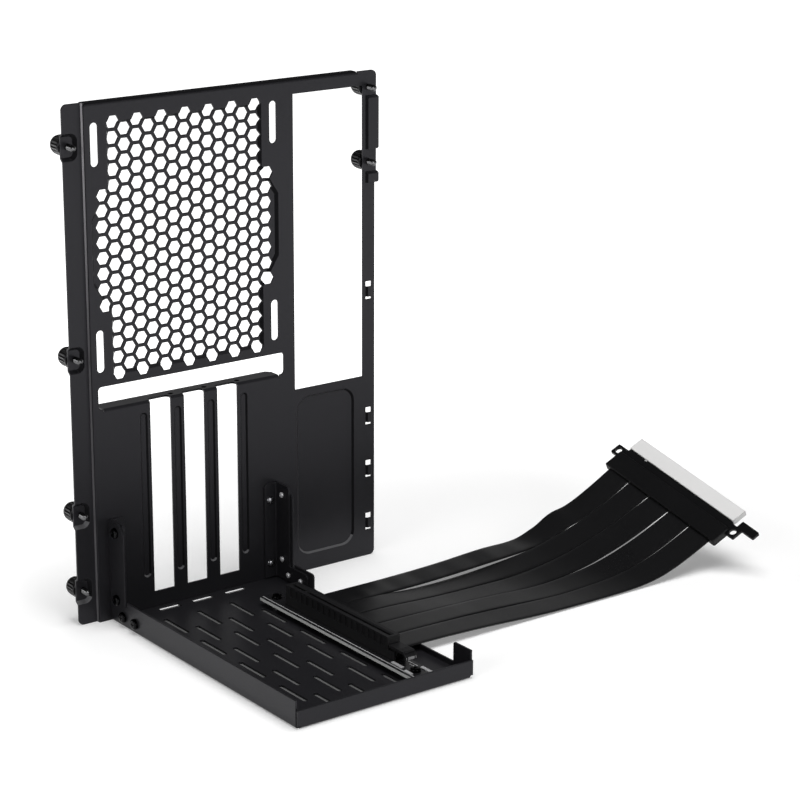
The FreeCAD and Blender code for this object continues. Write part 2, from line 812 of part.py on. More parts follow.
def make_thumbscrew(axis_x, z, y, depth):
    """Captive thumbscrew: a fluted head behind the sheet, a thin neck and a thread in front."""
    start = Vector(axis_x, y + depth + sheet + seat_gap, z)
    tip = -(seat_gap + sheet + thumb_tip_reach)
    length = thumb_head_length
    dome = thumb_head_round
    turn = math.sqrt(0.5)
    head = [
        (0, 0), (0, thumb_head_radius - dome / 4), (dome / 4, thumb_head_radius),
        (length - dome, thumb_head_radius),
        (length - dome + dome * turn, thumb_head_radius - dome + dome * turn),
        (length, thumb_head_radius - dome), (length, 0)]
    neck = -(seat_gap + sheet + thumb_neck_reach)
    thread = [
        (0, 0), (tip, 0), (tip, thumb_thread_radius - thumb_tip_chamfer),
        (tip + thumb_tip_chamfer, thumb_thread_radius), (neck, thumb_thread_radius),
        (neck, thumb_neck_radius), (0, thumb_neck_radius)]
    back = Vector(0, 1, 0)
    screw = fused([turned(head, start, back), turned(thread, start, back)])
    flutes = []
    for n in range(thumb_flute_count):
        angle = 2 * math.pi * n / thumb_flute_count
        reach = thumb_head_radius + thumb_flute_radius / 2
        centre = start + Vector(reach * math.cos(angle), dome / 2, reach * math.sin(angle))
        size = thumb_flute_radius
        flute = Part.makeBox(2 * size, length, 2 * size, Vector(-size, 0, -size))
        flute.Placement = FreeCAD.Placement(
            centre, FreeCAD.Rotation(Vector(0, 1, 0), 45 - math.degrees(angle)))
        flutes.append(flute)
    return screw.cut(Part.makeCompound(flutes))


def board_screw_places():
    """Axes of the two screws that hold the riser board, at its ends."""
    rear = -board_rear_y - board_screw_insets[0]
    front = -board_rear_y - board_length + board_screw_insets[1]
    x = socket_x - board_screw_shift
    return [(x, rear), (x, front)]


def make_slot_board():
    """Riser board under the card socket."""
    x0 = socket_x - board_left_reach
    x1 = socket_x + board_right_reach
    shape = rectangle(x0, x1, -board_rear_y - board_length, -board_rear_y, board_corner_radius)
    board = prism(shape, on_xy(board_height), Vector(0, 0, board_thickness))
    radius = screw_shank_radius + hole_clearance
    holes = []
    for x, y in board_screw_places():
        holes.append(cylinder(Vector(x, y, 0), Vector(0, 0, 1), board_top + sheet, radius))
    return board.cut(Part.makeCompound(holes))


def make_board_spacers():
    """Round spacers between the tray's floor and the riser board."""
    rings = []
    bore_radius = screw_shank_radius + hole_clearance
    for x, y in board_screw_places():
        base = Vector(x, y, sheet)
        ring = cylinder(base, Vector(0, 0, 1), board_height - sheet, spacer_radius)
        bore = cylinder(base, Vector(0, 0, 1), board_height, bore_radius)
        rings.append(ring.cut(bore))
    return Part.makeCompound(rings)


def make_board_screws():
    """Screws down through the riser board and its spacers into the tray."""
    screws = []
    reach = board_top
    round_edge = screw_head_height / 3
    for x, y in board_screw_places():
        profile = [
            (-reach, 0), (-reach, screw_shank_radius), (0, screw_shank_radius), (0, screw_head_radius),
            (screw_head_height - round_edge, screw_head_radius),
            (screw_head_height, screw_head_radius - round_edge), (screw_head_height, 0)]
        screws.append(turned(profile, Vector(x, y, board_top), Vector(0, 0, 1)))
    return Part.makeCompound(screws)


def latch_axis():
    """Middle of the latch's hinge pins."""
    y = -socket_rear_y - socket_length - latch_pin_forward
    return Vector(socket_x, y, board_top + latch_pin_height)


def make_slot_housing():
    """Card socket: keyed groove with a lead-in, window-ribbed sides and a fork for the latch."""
    half = socket_width / 2
    rear = -socket_rear_y
    front = rear - socket_length
    top = board_top + socket_height
    x0 = socket_x - half
    x1 = socket_x + half
    pin = latch_axis()
    cheek_top = board_top + cheek_height
    body = [box(x0, x1, front, rear, board_top, top)]
    for x in (x0, x1 - cheek_thickness):
        cheek = rectangle(front - cheek_length, front, board_top, cheek_top, 0)
        body.append(prism(cheek, on_yz(x), Vector(cheek_thickness, 0, 0)))
    housing = fused(body)
    groove = card_thickness / 2 + card_clearance
    deep = top - card_depth
    short_end = rear - socket_end_wall - card_short_length
    cuts = []
    for y0, y1 in ((short_end, rear - socket_end_wall), (front + socket_end_wall, short_end - card_key)):
        cuts.append(box(socket_x - groove, socket_x + groove, y0, y1, deep, top + 1))
        wedge = [
            (socket_x - groove, top - lead_in), (socket_x + groove, top - lead_in),
            (socket_x + groove + lead_in, top), (socket_x - groove - lead_in, top)]
        cuts.append(prism(wedge, on_xz(y0), Vector(0, y1 - y0, 0)))
    first = (rear + front) / 2 + window_pitch * (window_count - 1) / 2
    window_top = top - rib_window_drop
    for n in range(window_count):
        y = first - window_pitch * n
        for face_x in (x0, x1):
            cuts.append(box(
                face_x - rib_window_depth, face_x + rib_window_depth, y - rib_window_width / 2,
                y + rib_window_width / 2, window_top - rib_window_height, window_top))
    hole_radius = latch_pin_radius + hole_clearance
    cuts.append(cylinder(pin - Vector(far, 0, 0), Vector(1, 0, 0), 2 * far, hole_radius))
    return housing.cut(Part.makeCompound(cuts))


def make_slot_latch():
    """Latch lever: a stem between the fork's cheeks, hinge pins and a finger pad above."""
    pin = latch_axis()
    front = -socket_rear_y - socket_length
    half_stem = socket_width / 2 - cheek_thickness - latch_side_gap
    stem_rear = front - latch_body_gap
    pad_low = board_top + latch_pad_bottom
    pad_top = pad_low + latch_pad_thickness
    stem = [
        (pin.y - latch_stem_length / 2, pin.z - latch_pin_radius - bend_radius),
        (pin.y + latch_pin_radius, pin.z - latch_pin_radius - bend_radius, latch_pin_radius),
        (stem_rear, pin.z + latch_pin_radius), (stem_rear, pad_low),
        (stem_rear - latch_pad_length / 2, pad_low)]
    lip_front = stem_rear - latch_pad_length
    lip_back = lip_front + latch_lip_thickness
    lip_low = pad_low - latch_lip_drop
    run = latch_slope_run
    soft = latch_lip_thickness / 3
    pad = [
        (stem_rear, pad_low), (stem_rear, pad_top, latch_pad_thickness / 3),
        (lip_front + run, pad_top, run / 2), (lip_front, pad_top - run, run / 2),
        (lip_front, lip_low, soft), (lip_back, lip_low, soft),
        (lip_back, pad_low - run + latch_lip_thickness), (lip_front + run, pad_low)]
    x = socket_x
    half_pad = latch_pad_width / 2
    pieces = [
        prism(stem, on_yz(x - half_stem), Vector(2 * half_stem, 0, 0)),
        prism(pad, on_yz(x - half_pad), Vector(2 * half_pad, 0, 0)),
    ]
    pin_half = socket_width / 2
    pieces.append(cylinder(pin - Vector(pin_half, 0, 0), Vector(1, 0, 0), 2 * pin_half, latch_pin_radius))
    slots = []
    half_slot = latch_lip_slot / 2
    for middle in (x - latch_lip_slot_offset, x + latch_lip_slot_offset):
        slots.append(box(
            middle - half_slot, middle + half_slot, lip_front - run, lip_back + run,
            lip_low - run, pad_low - run / 2))
    return fused(pieces).cut(Part.makeCompound(slots))


def make_board_pins():
    """Rows of soldered terminals on the board's front end."""
    pins = []
    front = -board_rear_y - board_length
    for offset, inset, count in zip(pin_offsets, pin_insets, pin_counts):
        x = socket_x + offset
        for n in range(count):
            y = front + inset - pin_pitch * n
            pins.append(box(
                x - pin_length / 2, x + pin_length / 2, y - pin_width / 2, y + pin_width / 2,
                board_top, board_top + pin_height))
    return Part.makeCompound(pins)


def plug_place():
    """Placement of the plug: u runs the way it plugs in, v towards the front, w out of its underside."""
    roll = math.radians(plug_roll)
    pitch = math.radians(plug_pitch)
    v = Vector(0, -math.cos(roll), -math.sin(roll))
    level = Vector(1, 0, 0)
    out = Vector(0, -math.sin(roll), math.cos(roll))
    u = level * math.cos(pitch) + out * math.sin(pitch)
    w = u.cross(v)
    turn = FreeCAD.Rotation(u, v, w, "XYZ")
    return FreeCAD.Placement(Vector(plug_x, -ribbon_middle_y, plug_z), turn)


def placed(shape):
    """Move a shape drawn in the plug's u, v, w axes to its place."""
    shape.Placement = plug_place().multiply(shape.Placement)
    return shape


def plug_board_points():
    """Outline of the plug's board in u and v: ears, hook, shoulders, keyed contact edge."""
    sunk = cover_depth - plug_board_sunk
    w = plug_half_width
    f = finger_half_width
    key = -f + key_from_end
    key_end = key + key_width
    key_root = plug_edge - key_depth
    ear = w + ear_reach
    hook_in = w + hook_start
    hook_out = w + hook_reach
    hook_top = ear_top + hook_width
    r = ear_round
    return [
        (sunk, -w + r, 0), (sunk, w - r, 0), (ear_bottom, w - r, 0), (ear_bottom, ear, r),
        (ear_top, ear, r / 2), (ear_top, hook_out, r),
        (hook_top, hook_out, r), (hook_top, hook_in, r / 2),
        (plug_shoulder - r, hook_in, r / 2), (plug_shoulder - r, w, r / 2), (plug_shoulder, w, 0),
        (plug_shoulder, f, 0),
        (plug_edge - finger_bevel, f, 0), (plug_edge, f - finger_bevel, 0), (plug_edge, key_end, 0),
        (key_root, key_end, 0), (key_root, key, 0),
        (plug_edge, key, 0), (plug_edge, -f + finger_bevel, 0),
        (plug_edge - finger_bevel, -f, 0), (plug_shoulder, -f, 0), (plug_shoulder, -w, 0),
        (ear_top, -w, 0), (ear_top, -ear, r), (ear_bottom, -ear, r), (ear_bottom, -w + r, 0)]


def make_plug_board():
    """Edge board of the plug, with its fixing ears, retaining hook and keyed contact edge."""
    half = board_thickness / 2
    board = prism(plug_board_points(), on_xy(-half), Vector(0, 0, board_thickness))
    ear_u = (ear_bottom + ear_top) / 2
    ear_v = plug_half_width + ear_reach / 2 + ear_round
    holes = []
    for side in (-1, 1):
        start = Vector(ear_u, side * ear_v, -board_thickness)
        holes.append(cylinder(start, Vector(0, 0, 1), 2 * board_thickness, ear_hole_radius))
    return placed(board.cut(Part.makeCompound(holes)))


def make_plug_cover(side):
    """One half of the plug's cover: the lower one for side 1, the upper one for side -1."""
    half = cover_half_width
    shape = rectangle(0, cover_depth, -half, half, cover_corner_radius)
    cover = prism(shape, on_xy(0), Vector(0, 0, side * cover_thickness))
    rim = [edge for edge in cover.Edges if abs(edge.CenterOfMass.z - side * cover_thickness) < 1e-6]
    cover = cover.makeChamfer(cover_chamfer, rim)
    board = [(a, b) for a, b, _ in plug_board_points()]
    pocket = prism(board, on_xy(-board_thickness / 2), Vector(0, 0, board_thickness))
    return placed(cover.cut(pocket))


def make_plug_cap():
    """Milky cap pushed over the plug's contact edge, with a rib that fills the edge's key."""
    start = plug_shoulder + seat_gap
    inner_end = plug_edge + cap_clearance
    end = inner_end + cap_wall
    inner_half = finger_half_width + cap_clearance
    half = inner_half + cap_wall
    gap = board_thickness / 2 + cap_clearance
    thick = gap + cap_wall
    section = [
        (start, -thick), (end, -thick, cap_wall * 0.9), (end, thick, cap_wall * 0.9), (start, thick)]
    cap = prism(section, lambda a, b: Vector(a, -half, b), Vector(0, 2 * half, 0))
    cap = cap.cut(box(start - 1, inner_end, -inner_half, inner_half, -gap, gap))
    key = -finger_half_width + key_from_end
    rib_start = plug_edge - key_depth + cap_clearance
    rib = box(
        rib_start, inner_end + cap_wall / 2,
        key + cap_clearance, key + key_width - cap_clearance, -gap, gap)
    return placed(fused([cap, rib]))


def ribbon_route(n):
    """Route of one strip's middle line in x and z, from the riser board to the plug."""
    start_x = socket_x + board_right_reach
    middle = board_height + board_thickness / 2
    across = (n - (ribbon_count - 1) / 2) * ribbon_pitch
    end_z = plug_z - across * math.tan(math.radians(plug_roll))
    points = [(start_x, middle)] + list(zip(ribbon_stations, ribbon_heights[n])) + [(plug_x, end_z)]
    return [Vector(x, 0, z) for x, z in points]


def make_ribbon(n):
    """One flat strip: straight runs joined by tangent arcs, cut to the board and to the plug."""
    points = ribbon_route(n)
    lean = (points[-1] - points[-2]).normalize()
    points[-1] = points[-1] + lean * cover_depth
    sides = []
    for offset in (ribbon_thickness / 2, -ribbon_thickness / 2):
        edges = []
        last = points[0] + Vector(0, 0, offset)
        for i in range(1, len(points) - 1):
            back = (points[i - 1] - points[i])
            ahead = (points[i + 1] - points[i])
            reach = arc_share * min(back.Length, ahead.Length)
            back.normalize()
            ahead.normalize()
            half = back.getAngle(ahead) / 2
            radius = reach * math.tan(half)
            inward = (back + ahead).normalize()
            centre = points[i] + inward * (radius / math.sin(half))
            up = Vector(0, 1, 0).cross(back)
            grow = -offset if inward.z > 0 else offset
            begin = points[i] + back * reach + up * offset
            up_ahead = Vector(0, 1, 0).cross(ahead * -1)
            finish = points[i] + ahead * reach + up_ahead * offset
            middle = centre - inward * (radius + grow)
            edges.append(Part.makeLine(last, begin))
            edges.append(Part.Arc(begin, middle, finish).toShape())
            last = finish
        up_end = Vector(0, 1, 0).cross(lean * -1)
        end = points[-1] + up_end * offset
        edges.append(Part.makeLine(last, end))
        sides.append((edges, points[0] + Vector(0, 0, offset), end))
    (upper, upper_start, upper_end), (lower, lower_start, lower_end) = sides
    loop = upper + [Part.makeLine(upper_end, lower_end)] + lower[::-1]
    loop.append(Part.makeLine(lower_start, upper_start))
    profile = Part.Wire(Part.sortEdges(loop)[0])
    across = (n - (ribbon_count - 1) / 2) * ribbon_pitch
    y = -ribbon_middle_y - across - ribbon_width / 2
    strip = Part.Face(profile).extrude(Vector(0, ribbon_width, 0))
    strip.translate(Vector(0, y, 0))
    behind = placed(box(0, far, -far, far, -far, far))
    return strip.cut(behind)


def write(name, shape):
    """Move a piece to the origin at the tray's middle and write it."""
    shape.translate(Vector(0, tray_depth / 2, 0))
    shape.exportStep(f"parts/{name}.step")


os.makedirs("parts", exist_ok=True)
right_bracket = make_right_bracket()
write("left_bracket", mirrored(right_bracket))
write("right_bracket", right_bracket)
write("rear_panel", make_rear_panel())
write("card_tray", make_card_tray())
write("tray_screws", make_tray_screws())
write("panel_rivets", make_panel_rivets())
for screw_name, *place_of_screw in screw_places():
    write(screw_name, make_thumbscrew(*place_of_screw))
write("slot_board", make_slot_board())
write("board_spacers", make_board_spacers())
write("board_screws", make_board_screws())
write("board_pins", make_board_pins())
write("slot_housing", make_slot_housing())
write("slot_latch", make_slot_latch())
for number in range(ribbon_count):
    write(f"ribbon_{number + 1}", make_ribbon(number))
write("plug_board", make_plug_board())
write("plug_cover_top", make_plug_cover(-1))
write("plug_cover_bottom", make_plug_cover(1))
write("plug_cap", make_plug_cap())
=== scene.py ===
"""Looks of an upright graphics-card bracket: folded panel, card tray, riser socket and flat ribbon."""
import math

import bmesh
import bpy
from mathutils import Matrix, Vector


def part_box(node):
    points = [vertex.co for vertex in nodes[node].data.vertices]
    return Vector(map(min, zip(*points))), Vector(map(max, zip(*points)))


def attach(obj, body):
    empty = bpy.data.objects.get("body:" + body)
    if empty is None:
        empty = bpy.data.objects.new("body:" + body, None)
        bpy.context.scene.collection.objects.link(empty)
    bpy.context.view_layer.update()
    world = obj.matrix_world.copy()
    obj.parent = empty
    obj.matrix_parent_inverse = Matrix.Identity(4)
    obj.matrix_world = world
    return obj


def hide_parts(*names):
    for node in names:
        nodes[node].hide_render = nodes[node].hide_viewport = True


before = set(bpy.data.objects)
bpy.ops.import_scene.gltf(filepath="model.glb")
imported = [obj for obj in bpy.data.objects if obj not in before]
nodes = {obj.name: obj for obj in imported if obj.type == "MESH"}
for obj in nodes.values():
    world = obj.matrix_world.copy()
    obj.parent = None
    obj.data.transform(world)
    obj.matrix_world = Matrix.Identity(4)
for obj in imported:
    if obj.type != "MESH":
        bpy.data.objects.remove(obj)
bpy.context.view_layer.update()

# Rear panel
# One sheet of steel with a honeycomb fan grille, punched, pressed and folded, and powder coated all
# over in a fine satin black. The coat carries a painted highlight on the joggle's step and on up-facing
# pressed slopes, and painted shade on the top of the hem and on left-facing slopes.
coat_dark = (0.0105, 0.0103, 0.0118, 1)
coat_light = (0.0165, 0.0163, 0.0182, 1)
coat_grains_per_metre = 2600
coat_grain_height = 0.00002
coat_gloss = (0.29, 0.38)
coat_specular = 0.25
coat_edge_round = 0.0005
coat_tint = (0.93, 0.92, 1.0, 1)
plain_tint = (1, 1, 1, 1)
grain_detail = 2.0
patches_per_metre = 24.0
patch_detail = 5.0
grain_share = 0.35
grain_spread = (0.3, 0.7)
edge_samples = 4
# Painted highlight: a pale line painted on the joggle's step, stronger higher up
step_x = -0.0591
step_y = 0.0868
step_reach = 0.0009
step_facing = -0.5
step_highlight_heights = (0.13, 0.26)
step_highlight_amounts = (0.26, 1.0)
step_painted_highlight = (0.40, 0.39, 0.41, 1)
# Painted shade: dark, fully rough coat painted on the top of the hem and on slopes that face left
hem_from = 0.2660
hem_slope = 0.5
painted_shade_coat = (0.004, 0.004, 0.0045, 1)
painted_shade_roughness = 1.0
# Painted highlight: pale coat painted on pressed slopes that face up, low on the panel
up_slope_painted_highlight = (0.10, 0.10, 0.104, 1)
# Slopes of the pressings, by their normals: the limit for the front side, then middle and half width
front_slope = -0.1
left_slope = (-0.575, 0.375)
up_slope = (0.55, 0.30)
up_slope_below = 0.110


def shader_group(name, inputs, outputs):
    """New shader node group with named sockets, and its input and output nodes."""
    group = bpy.data.node_groups.new(name, "ShaderNodeTree")
    for label, value in inputs:
        socket = group.interface.new_socket(label, in_out="INPUT", socket_type="NodeSocketFloat")
        socket.default_value = value
    for label in outputs:
        group.interface.new_socket(label, in_out="OUTPUT", socket_type="NodeSocketFloat")
    return group, group.nodes.new("NodeGroupInput"), group.nodes.new("NodeGroupOutput")


def map_range(tree, value, start, end, smooth=False):
    """Node that carries a value from one range to another, evenly or with soft ends."""
    spread = tree.nodes.new("ShaderNodeMapRange")
    if smooth:
        spread.interpolation_type = "SMOOTHSTEP"
    spread.inputs["From Min"].default_value = start[0]
    spread.inputs["From Max"].default_value = start[1]
    spread.inputs["To Min"].default_value = end[0]
    spread.inputs["To Max"].default_value = end[1]
    tree.links.new(value, spread.inputs["Value"])
    return spread


def make_grain_group():
    """Fine surface grain with broad, faint changes of shade and gloss."""
    inputs = [
        ("Grains per metre", coat_grains_per_metre),
        ("Gloss low", coat_gloss[0]),
        ("Gloss high", coat_gloss[1])]
    group, start, end = shader_group("fine grain", inputs, ["Height", "Roughness", "Shade"])
    add = group.nodes.new
    link = group.links.new
    place = add("ShaderNodeTexCoord")
    grain = add("ShaderNodeTexNoise")
    grain.inputs["Detail"].default_value = grain_detail
    link(place.outputs["Object"], grain.inputs["Vector"])
    link(start.outputs["Grains per metre"], grain.inputs["Scale"])
    patches = add("ShaderNodeTexNoise")
    patches.inputs["Scale"].default_value = patches_per_metre
    patches.inputs["Detail"].default_value = patch_detail
    link(place.outputs["Object"], patches.inputs["Vector"])
    blend = add("ShaderNodeMix")
    blend.data_type = "FLOAT"
    blend.inputs["Factor"].default_value = grain_share
    link(patches.outputs["Fac"], blend.inputs["A"])
    link(grain.outputs["Fac"], blend.inputs["B"])
    gloss = map_range(group, blend.outputs["Result"], grain_spread, coat_gloss)
    link(start.outputs["Gloss low"], gloss.inputs["To Min"])
    link(start.outputs["Gloss high"], gloss.inputs["To Max"])
    link(grain.outputs["Fac"], end.inputs["Height"])
    link(gloss.outputs["Result"], end.inputs["Roughness"])
    link(blend.outputs["Result"], end.inputs["Shade"])
    return group


fine_grain = make_grain_group()


def grain_shaded(name, dark, light, grains, gloss):
    """New material whose two near shades and gloss follow the fine grain, its shader and its grain."""
    material = bpy.data.materials.new(name)
    material.use_nodes = True
    tree = material.node_tree
    shader = tree.nodes["Principled BSDF"]
    grain = tree.nodes.new("ShaderNodeGroup")
    grain.node_tree = fine_grain
    grain.inputs["Grains per metre"].default_value = grains
    grain.inputs["Gloss low"].default_value = gloss[0]
    grain.inputs["Gloss high"].default_value = gloss[1]
    shade = tree.nodes.new("ShaderNodeMix")
    shade.data_type = "RGBA"
    shade.inputs["A"].default_value = dark
    shade.inputs["B"].default_value = light
    tree.links.new(grain.outputs["Shade"], shade.inputs["Factor"])
    tree.links.new(shade.outputs["Result"], shader.inputs["Base Color"])
    tree.links.new(grain.outputs["Roughness"], shader.inputs["Roughness"])
    return material, shader, grain


def grained_finish(name, dark, light, grains, height, gloss, specular, edge_round=0.0, tint=plain_tint):
    """Coat, plastic or resist: grained colour and gloss, grain bump and, if asked, soft edges."""
    material, shader, grain = grain_shaded(name, dark, light, grains, gloss)
    tree = material.node_tree
    shader.inputs["Specular IOR Level"].default_value = specular
    shader.inputs["Specular Tint"].default_value = tint
    bump = tree.nodes.new("ShaderNodeBump")
    bump.inputs["Distance"].default_value = height
    tree.links.new(grain.outputs["Height"], bump.inputs["Height"])
    if edge_round > 0:
        edge = tree.nodes.new("ShaderNodeBevel")
        edge.samples = edge_samples
        edge.inputs["Radius"].default_value = edge_round
        tree.links.new(edge.outputs["Normal"], bump.inputs["Normal"])
    tree.links.new(bump.outputs["Normal"], shader.inputs["Normal"])
    return material


def powder_finish(name):
    """The satin black powder coat."""
    return grained_finish(
        name, dark=coat_dark, light=coat_light, grains=coat_grains_per_metre, height=coat_grain_height,
        gloss=coat_gloss, specular=coat_specular, edge_round=coat_edge_round, tint=coat_tint)


def normal_axes(tree):
    """Node with the three parts of the faces' own normals."""
    surface = tree.nodes.new("ShaderNodeNewGeometry")
    axes = tree.nodes.new("ShaderNodeSeparateXYZ")
    tree.links.new(surface.outputs["True Normal"], axes.inputs["Vector"])
    return axes


def passing(tree, value, operation, *limits):
    """Mask that is on where a value passes a test against limits."""
    test = tree.nodes.new("ShaderNodeMath")
    test.operation = operation
    tree.links.new(value, test.inputs[0])
    for n, limit in enumerate(limits, 1):
        test.inputs[n].default_value = limit
    return test.outputs["Value"]


def masked(tree, mask, value, operation, *limits):
    """Mask times a test of a value against limits."""
    both = tree.nodes.new("ShaderNodeMath")
    both.operation = "MULTIPLY"
    tree.links.new(mask, both.inputs[0])
    tree.links.new(passing(tree, value, operation, *limits), both.inputs[1])
    return both.outputs["Value"]


def blend_in(tree, label, kind, value, mask):
    """Blend a value into what already feeds a socket of the shader, as far as the mask goes."""
    socket = tree.nodes["Principled BSDF"].inputs[label]
    blend = tree.nodes.new("ShaderNodeMix")
    blend.data_type = kind
    blend.inputs["B"].default_value = value
    tree.links.new(mask, blend.inputs["Factor"])
    tree.links.new(socket.links[0].from_socket, blend.inputs["A"])
    tree.links.new(blend.outputs["Result"], socket)


def mark_bends(material):
    """Painted light on the coat: a painted highlight along the joggle's step, stronger higher up, painted
    shade on the top of the hem, and on pressed slopes painted shade where they face left and a painted
    highlight where they face up."""
    tree = material.node_tree
    place = tree.nodes.new("ShaderNodeTexCoord")
    axes = tree.nodes.new("ShaderNodeSeparateXYZ")
    tree.links.new(place.outputs["Object"], axes.inputs["Vector"])
    normal = normal_axes(tree)
    amount = map_range(tree, axes.outputs["Z"], step_highlight_heights, step_highlight_amounts, smooth=True)
    joggle_highlight = masked(tree, amount.outputs["Result"], axes.outputs["X"], "COMPARE", step_x, step_reach)
    joggle_highlight = masked(tree, joggle_highlight, axes.outputs["Y"], "COMPARE", step_y, step_reach)
    joggle_highlight = masked(tree, joggle_highlight, normal.outputs["X"], "LESS_THAN", step_facing)
    blend_in(tree, "Base Color", "RGBA", step_painted_highlight, joggle_highlight)
    hem = passing(tree, axes.outputs["Z"], "GREATER_THAN", hem_from)
    hem = masked(tree, hem, normal.outputs["Z"], "GREATER_THAN", hem_slope)
    left = passing(tree, normal.outputs["X"], "COMPARE", *left_slope)
    left = masked(tree, left, normal.outputs["Y"], "LESS_THAN", front_slope)
    for painted_shade_mask in (hem, left):
        blend_in(tree, "Base Color", "RGBA", painted_shade_coat, painted_shade_mask)
        blend_in(tree, "Roughness", "FLOAT", painted_shade_roughness, painted_shade_mask)
    up_slope_highlight_mask = passing(tree, normal.outputs["Z"], "COMPARE", *up_slope)
    up_slope_highlight_mask = masked(tree, up_slope_highlight_mask, normal.outputs["Y"], "LESS_THAN", front_slope)
    up_slope_highlight_mask = masked(tree, up_slope_highlight_mask, axes.outputs["Z"], "LESS_THAN", up_slope_below)
    blend_in(tree, "Base Color", "RGBA", up_slope_painted_highlight, up_slope_highlight_mask)


def dress(material, *names):
    """Give CAD pieces that material."""
    for name in names:
        mesh = nodes[name].data
        mesh.materials.clear()
        mesh.materials.append(material)


panel_coat = powder_finish("panel coat")
mark_bends(panel_coat)
dress(panel_coat, "rear_panel")

# Card tray and its two angle brackets
# The tray is one folded sheet with vents, the brackets are small angles inside its walls.
# All three have the panel's coat; they are screwed and riveted together below.
dress(powder_finish("powder coat"), "card_tray", "left_bracket", "right_bracket")

# Rivets between brackets and panel
# Domed steel rivets set through each bracket's flange, darkened but with bright crowns.
rivet_dark = (0.16, 0.16, 0.17, 1)
rivet_light = (0.42, 0.42, 0.44, 1)
rivet_tail_shares = (0.2, 0.55, 0.95)
rivet_shank_share = 0.6
rivet_dome_share = 0.98
rivet_dome_rim = 0.00002
rivet_dome_steps = 9
rivet_dimple = 0.0004
rivet_dimple_shares = (0.16, 0.12)
sheet_thickness = 0.001
turned_segments = 24
same_point = 1e-6


def solids_of(name):
    """Boxes of a CAD node's separate solids, as (lowest corner, highest corner)."""
    work = bmesh.new()
    work.from_mesh(nodes[name].data)
    bmesh.ops.remove_doubles(work, verts=work.verts, dist=same_point)
    waiting = set(work.verts)
    boxes = []
    while waiting:
        island = [waiting.pop()]
        for vert in island:
            for edge in vert.link_edges:
                other = edge.other_vert(vert)
                if other in waiting:
                    waiting.remove(other)
                    island.append(other)
        low = Vector(min(v.co[i] for v in island) for i in range(3))
        high = Vector(max(v.co[i] for v in island) for i in range(3))
        boxes.append((low, high))
    work.free()
    return sorted(boxes, key=lambda pair: tuple(pair[0]))


def mesh_from(work, name):
    """Mesh of what was modelled, with the workspace let go."""
    mesh = bpy.data.meshes.new(name)
    work.to_mesh(mesh)
    work.free()
    return mesh


def join_rings(work, rings):
    """Skin through rings of points, closed at both ends; gives the faces between the rings."""
    skin = []
    for lower, upper in zip(rings, rings[1:]):
        for n in range(len(lower)):
            m = (n + 1) % len(lower)
            skin.append(work.faces.new((lower[n], lower[m], upper[m], upper[n])))
    work.faces.new(rings[0][::-1])
    work.faces.new(rings[-1])
    bmesh.ops.recalc_face_normals(work, faces=work.faces)
    return skin


def turned_mesh(name, profile, segments=turned_segments, shape=None):
    """Mesh turned about Z from (height, radius) points; shape may change a point's radius."""
    work = bmesh.new()
    rings = []
    for height, radius in profile:
        ring = []
        for n in range(segments):
            angle = 2 * math.pi * n / segments
            reach = shape(height, radius, angle) if shape else radius
            ring.append(work.verts.new((reach * math.cos(angle), reach * math.sin(angle), height)))
        rings.append(ring)
    join_rings(work, rings)
    return mesh_from(work, name)


def piece(name, mesh, material, body, smooth_angle=35):
    """New object of the part: smooth where its faces meet gently, riding on a body."""
    mesh.materials.append(material)
    made = bpy.data.objects.new(name, mesh)
    bpy.context.scene.collection.objects.link(made)
    mesh.shade_smooth()
    mesh.set_sharp_from_angle(angle=math.radians(smooth_angle))
    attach(made, body)
    return made


def copies(name, mesh, places):
    """One mesh made of a template's copies at several placements."""
    work = bmesh.new()
    for place in places:
        copy = mesh.copy()
        copy.transform(place)
        work.from_mesh(copy)
        bpy.data.meshes.remove(copy)
    return mesh_from(work, name)


def facing(centre, direction):
    """Placement that puts a mesh's Z axis along a direction at a point."""
    turn = Vector(direction).to_track_quat("Z", "Y").to_matrix().to_4x4()
    return Matrix.Translation(centre) @ turn


def metal_finish(name, dark, light, grains, gloss, metallic=1.0):
    """Bare or blackened metal: two shades mottled together, faint tool marks in its gloss."""
    material, shader, _ = grain_shaded(name, dark, light, grains, gloss)
    shader.inputs["Metallic"].default_value = metallic
    return material


rivet_metal = metal_finish("rivet steel", rivet_dark, rivet_light, grains=1500, gloss=(0.22, 0.34))
rivet_solids = solids_of("panel_rivets")
rivet_low, rivet_high = rivet_solids[0]
rivet_radius = (rivet_high.x - rivet_low.x) / 2
rivet_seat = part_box("left_bracket")[1].y - sheet_thickness
rivet_rise = rivet_seat - rivet_low.y
rivet_tail = rivet_high.y - rivet_seat
rivet_profile = [
    (-rivet_tail, rivet_radius * rivet_tail_shares[0]),
    (-rivet_tail, rivet_radius * rivet_tail_shares[1]),
    (-2 * sheet_thickness, rivet_radius * rivet_tail_shares[2]),
    (-2 * sheet_thickness, rivet_radius * rivet_shank_share),
    (0.0, rivet_radius * rivet_shank_share)]
for step in range(rivet_dome_steps):
    lift = math.pi / 2 * step / rivet_dome_steps
    reach = rivet_radius * math.cos(lift) * rivet_dome_share + rivet_dome_rim
    rivet_profile.append((rivet_rise * math.sin(lift), reach))
rivet_profile.append((rivet_rise - rivet_dimple / 4, rivet_radius * rivet_dimple_shares[0]))
rivet_profile.append((rivet_rise - rivet_dimple, rivet_radius * rivet_dimple_shares[1]))
rivet_mesh = turned_mesh("rivet", rivet_profile)
rivet_places = []
for low, high in rivet_solids:
    middle = (low + high) / 2
    rivet_places.append(facing((middle.x, rivet_seat, middle.z), (0, -1, 0)))
rivets = piece("domed_rivets", copies("domed rivets", rivet_mesh, rivet_places), rivet_metal, "bracket")
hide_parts("panel_rivets")

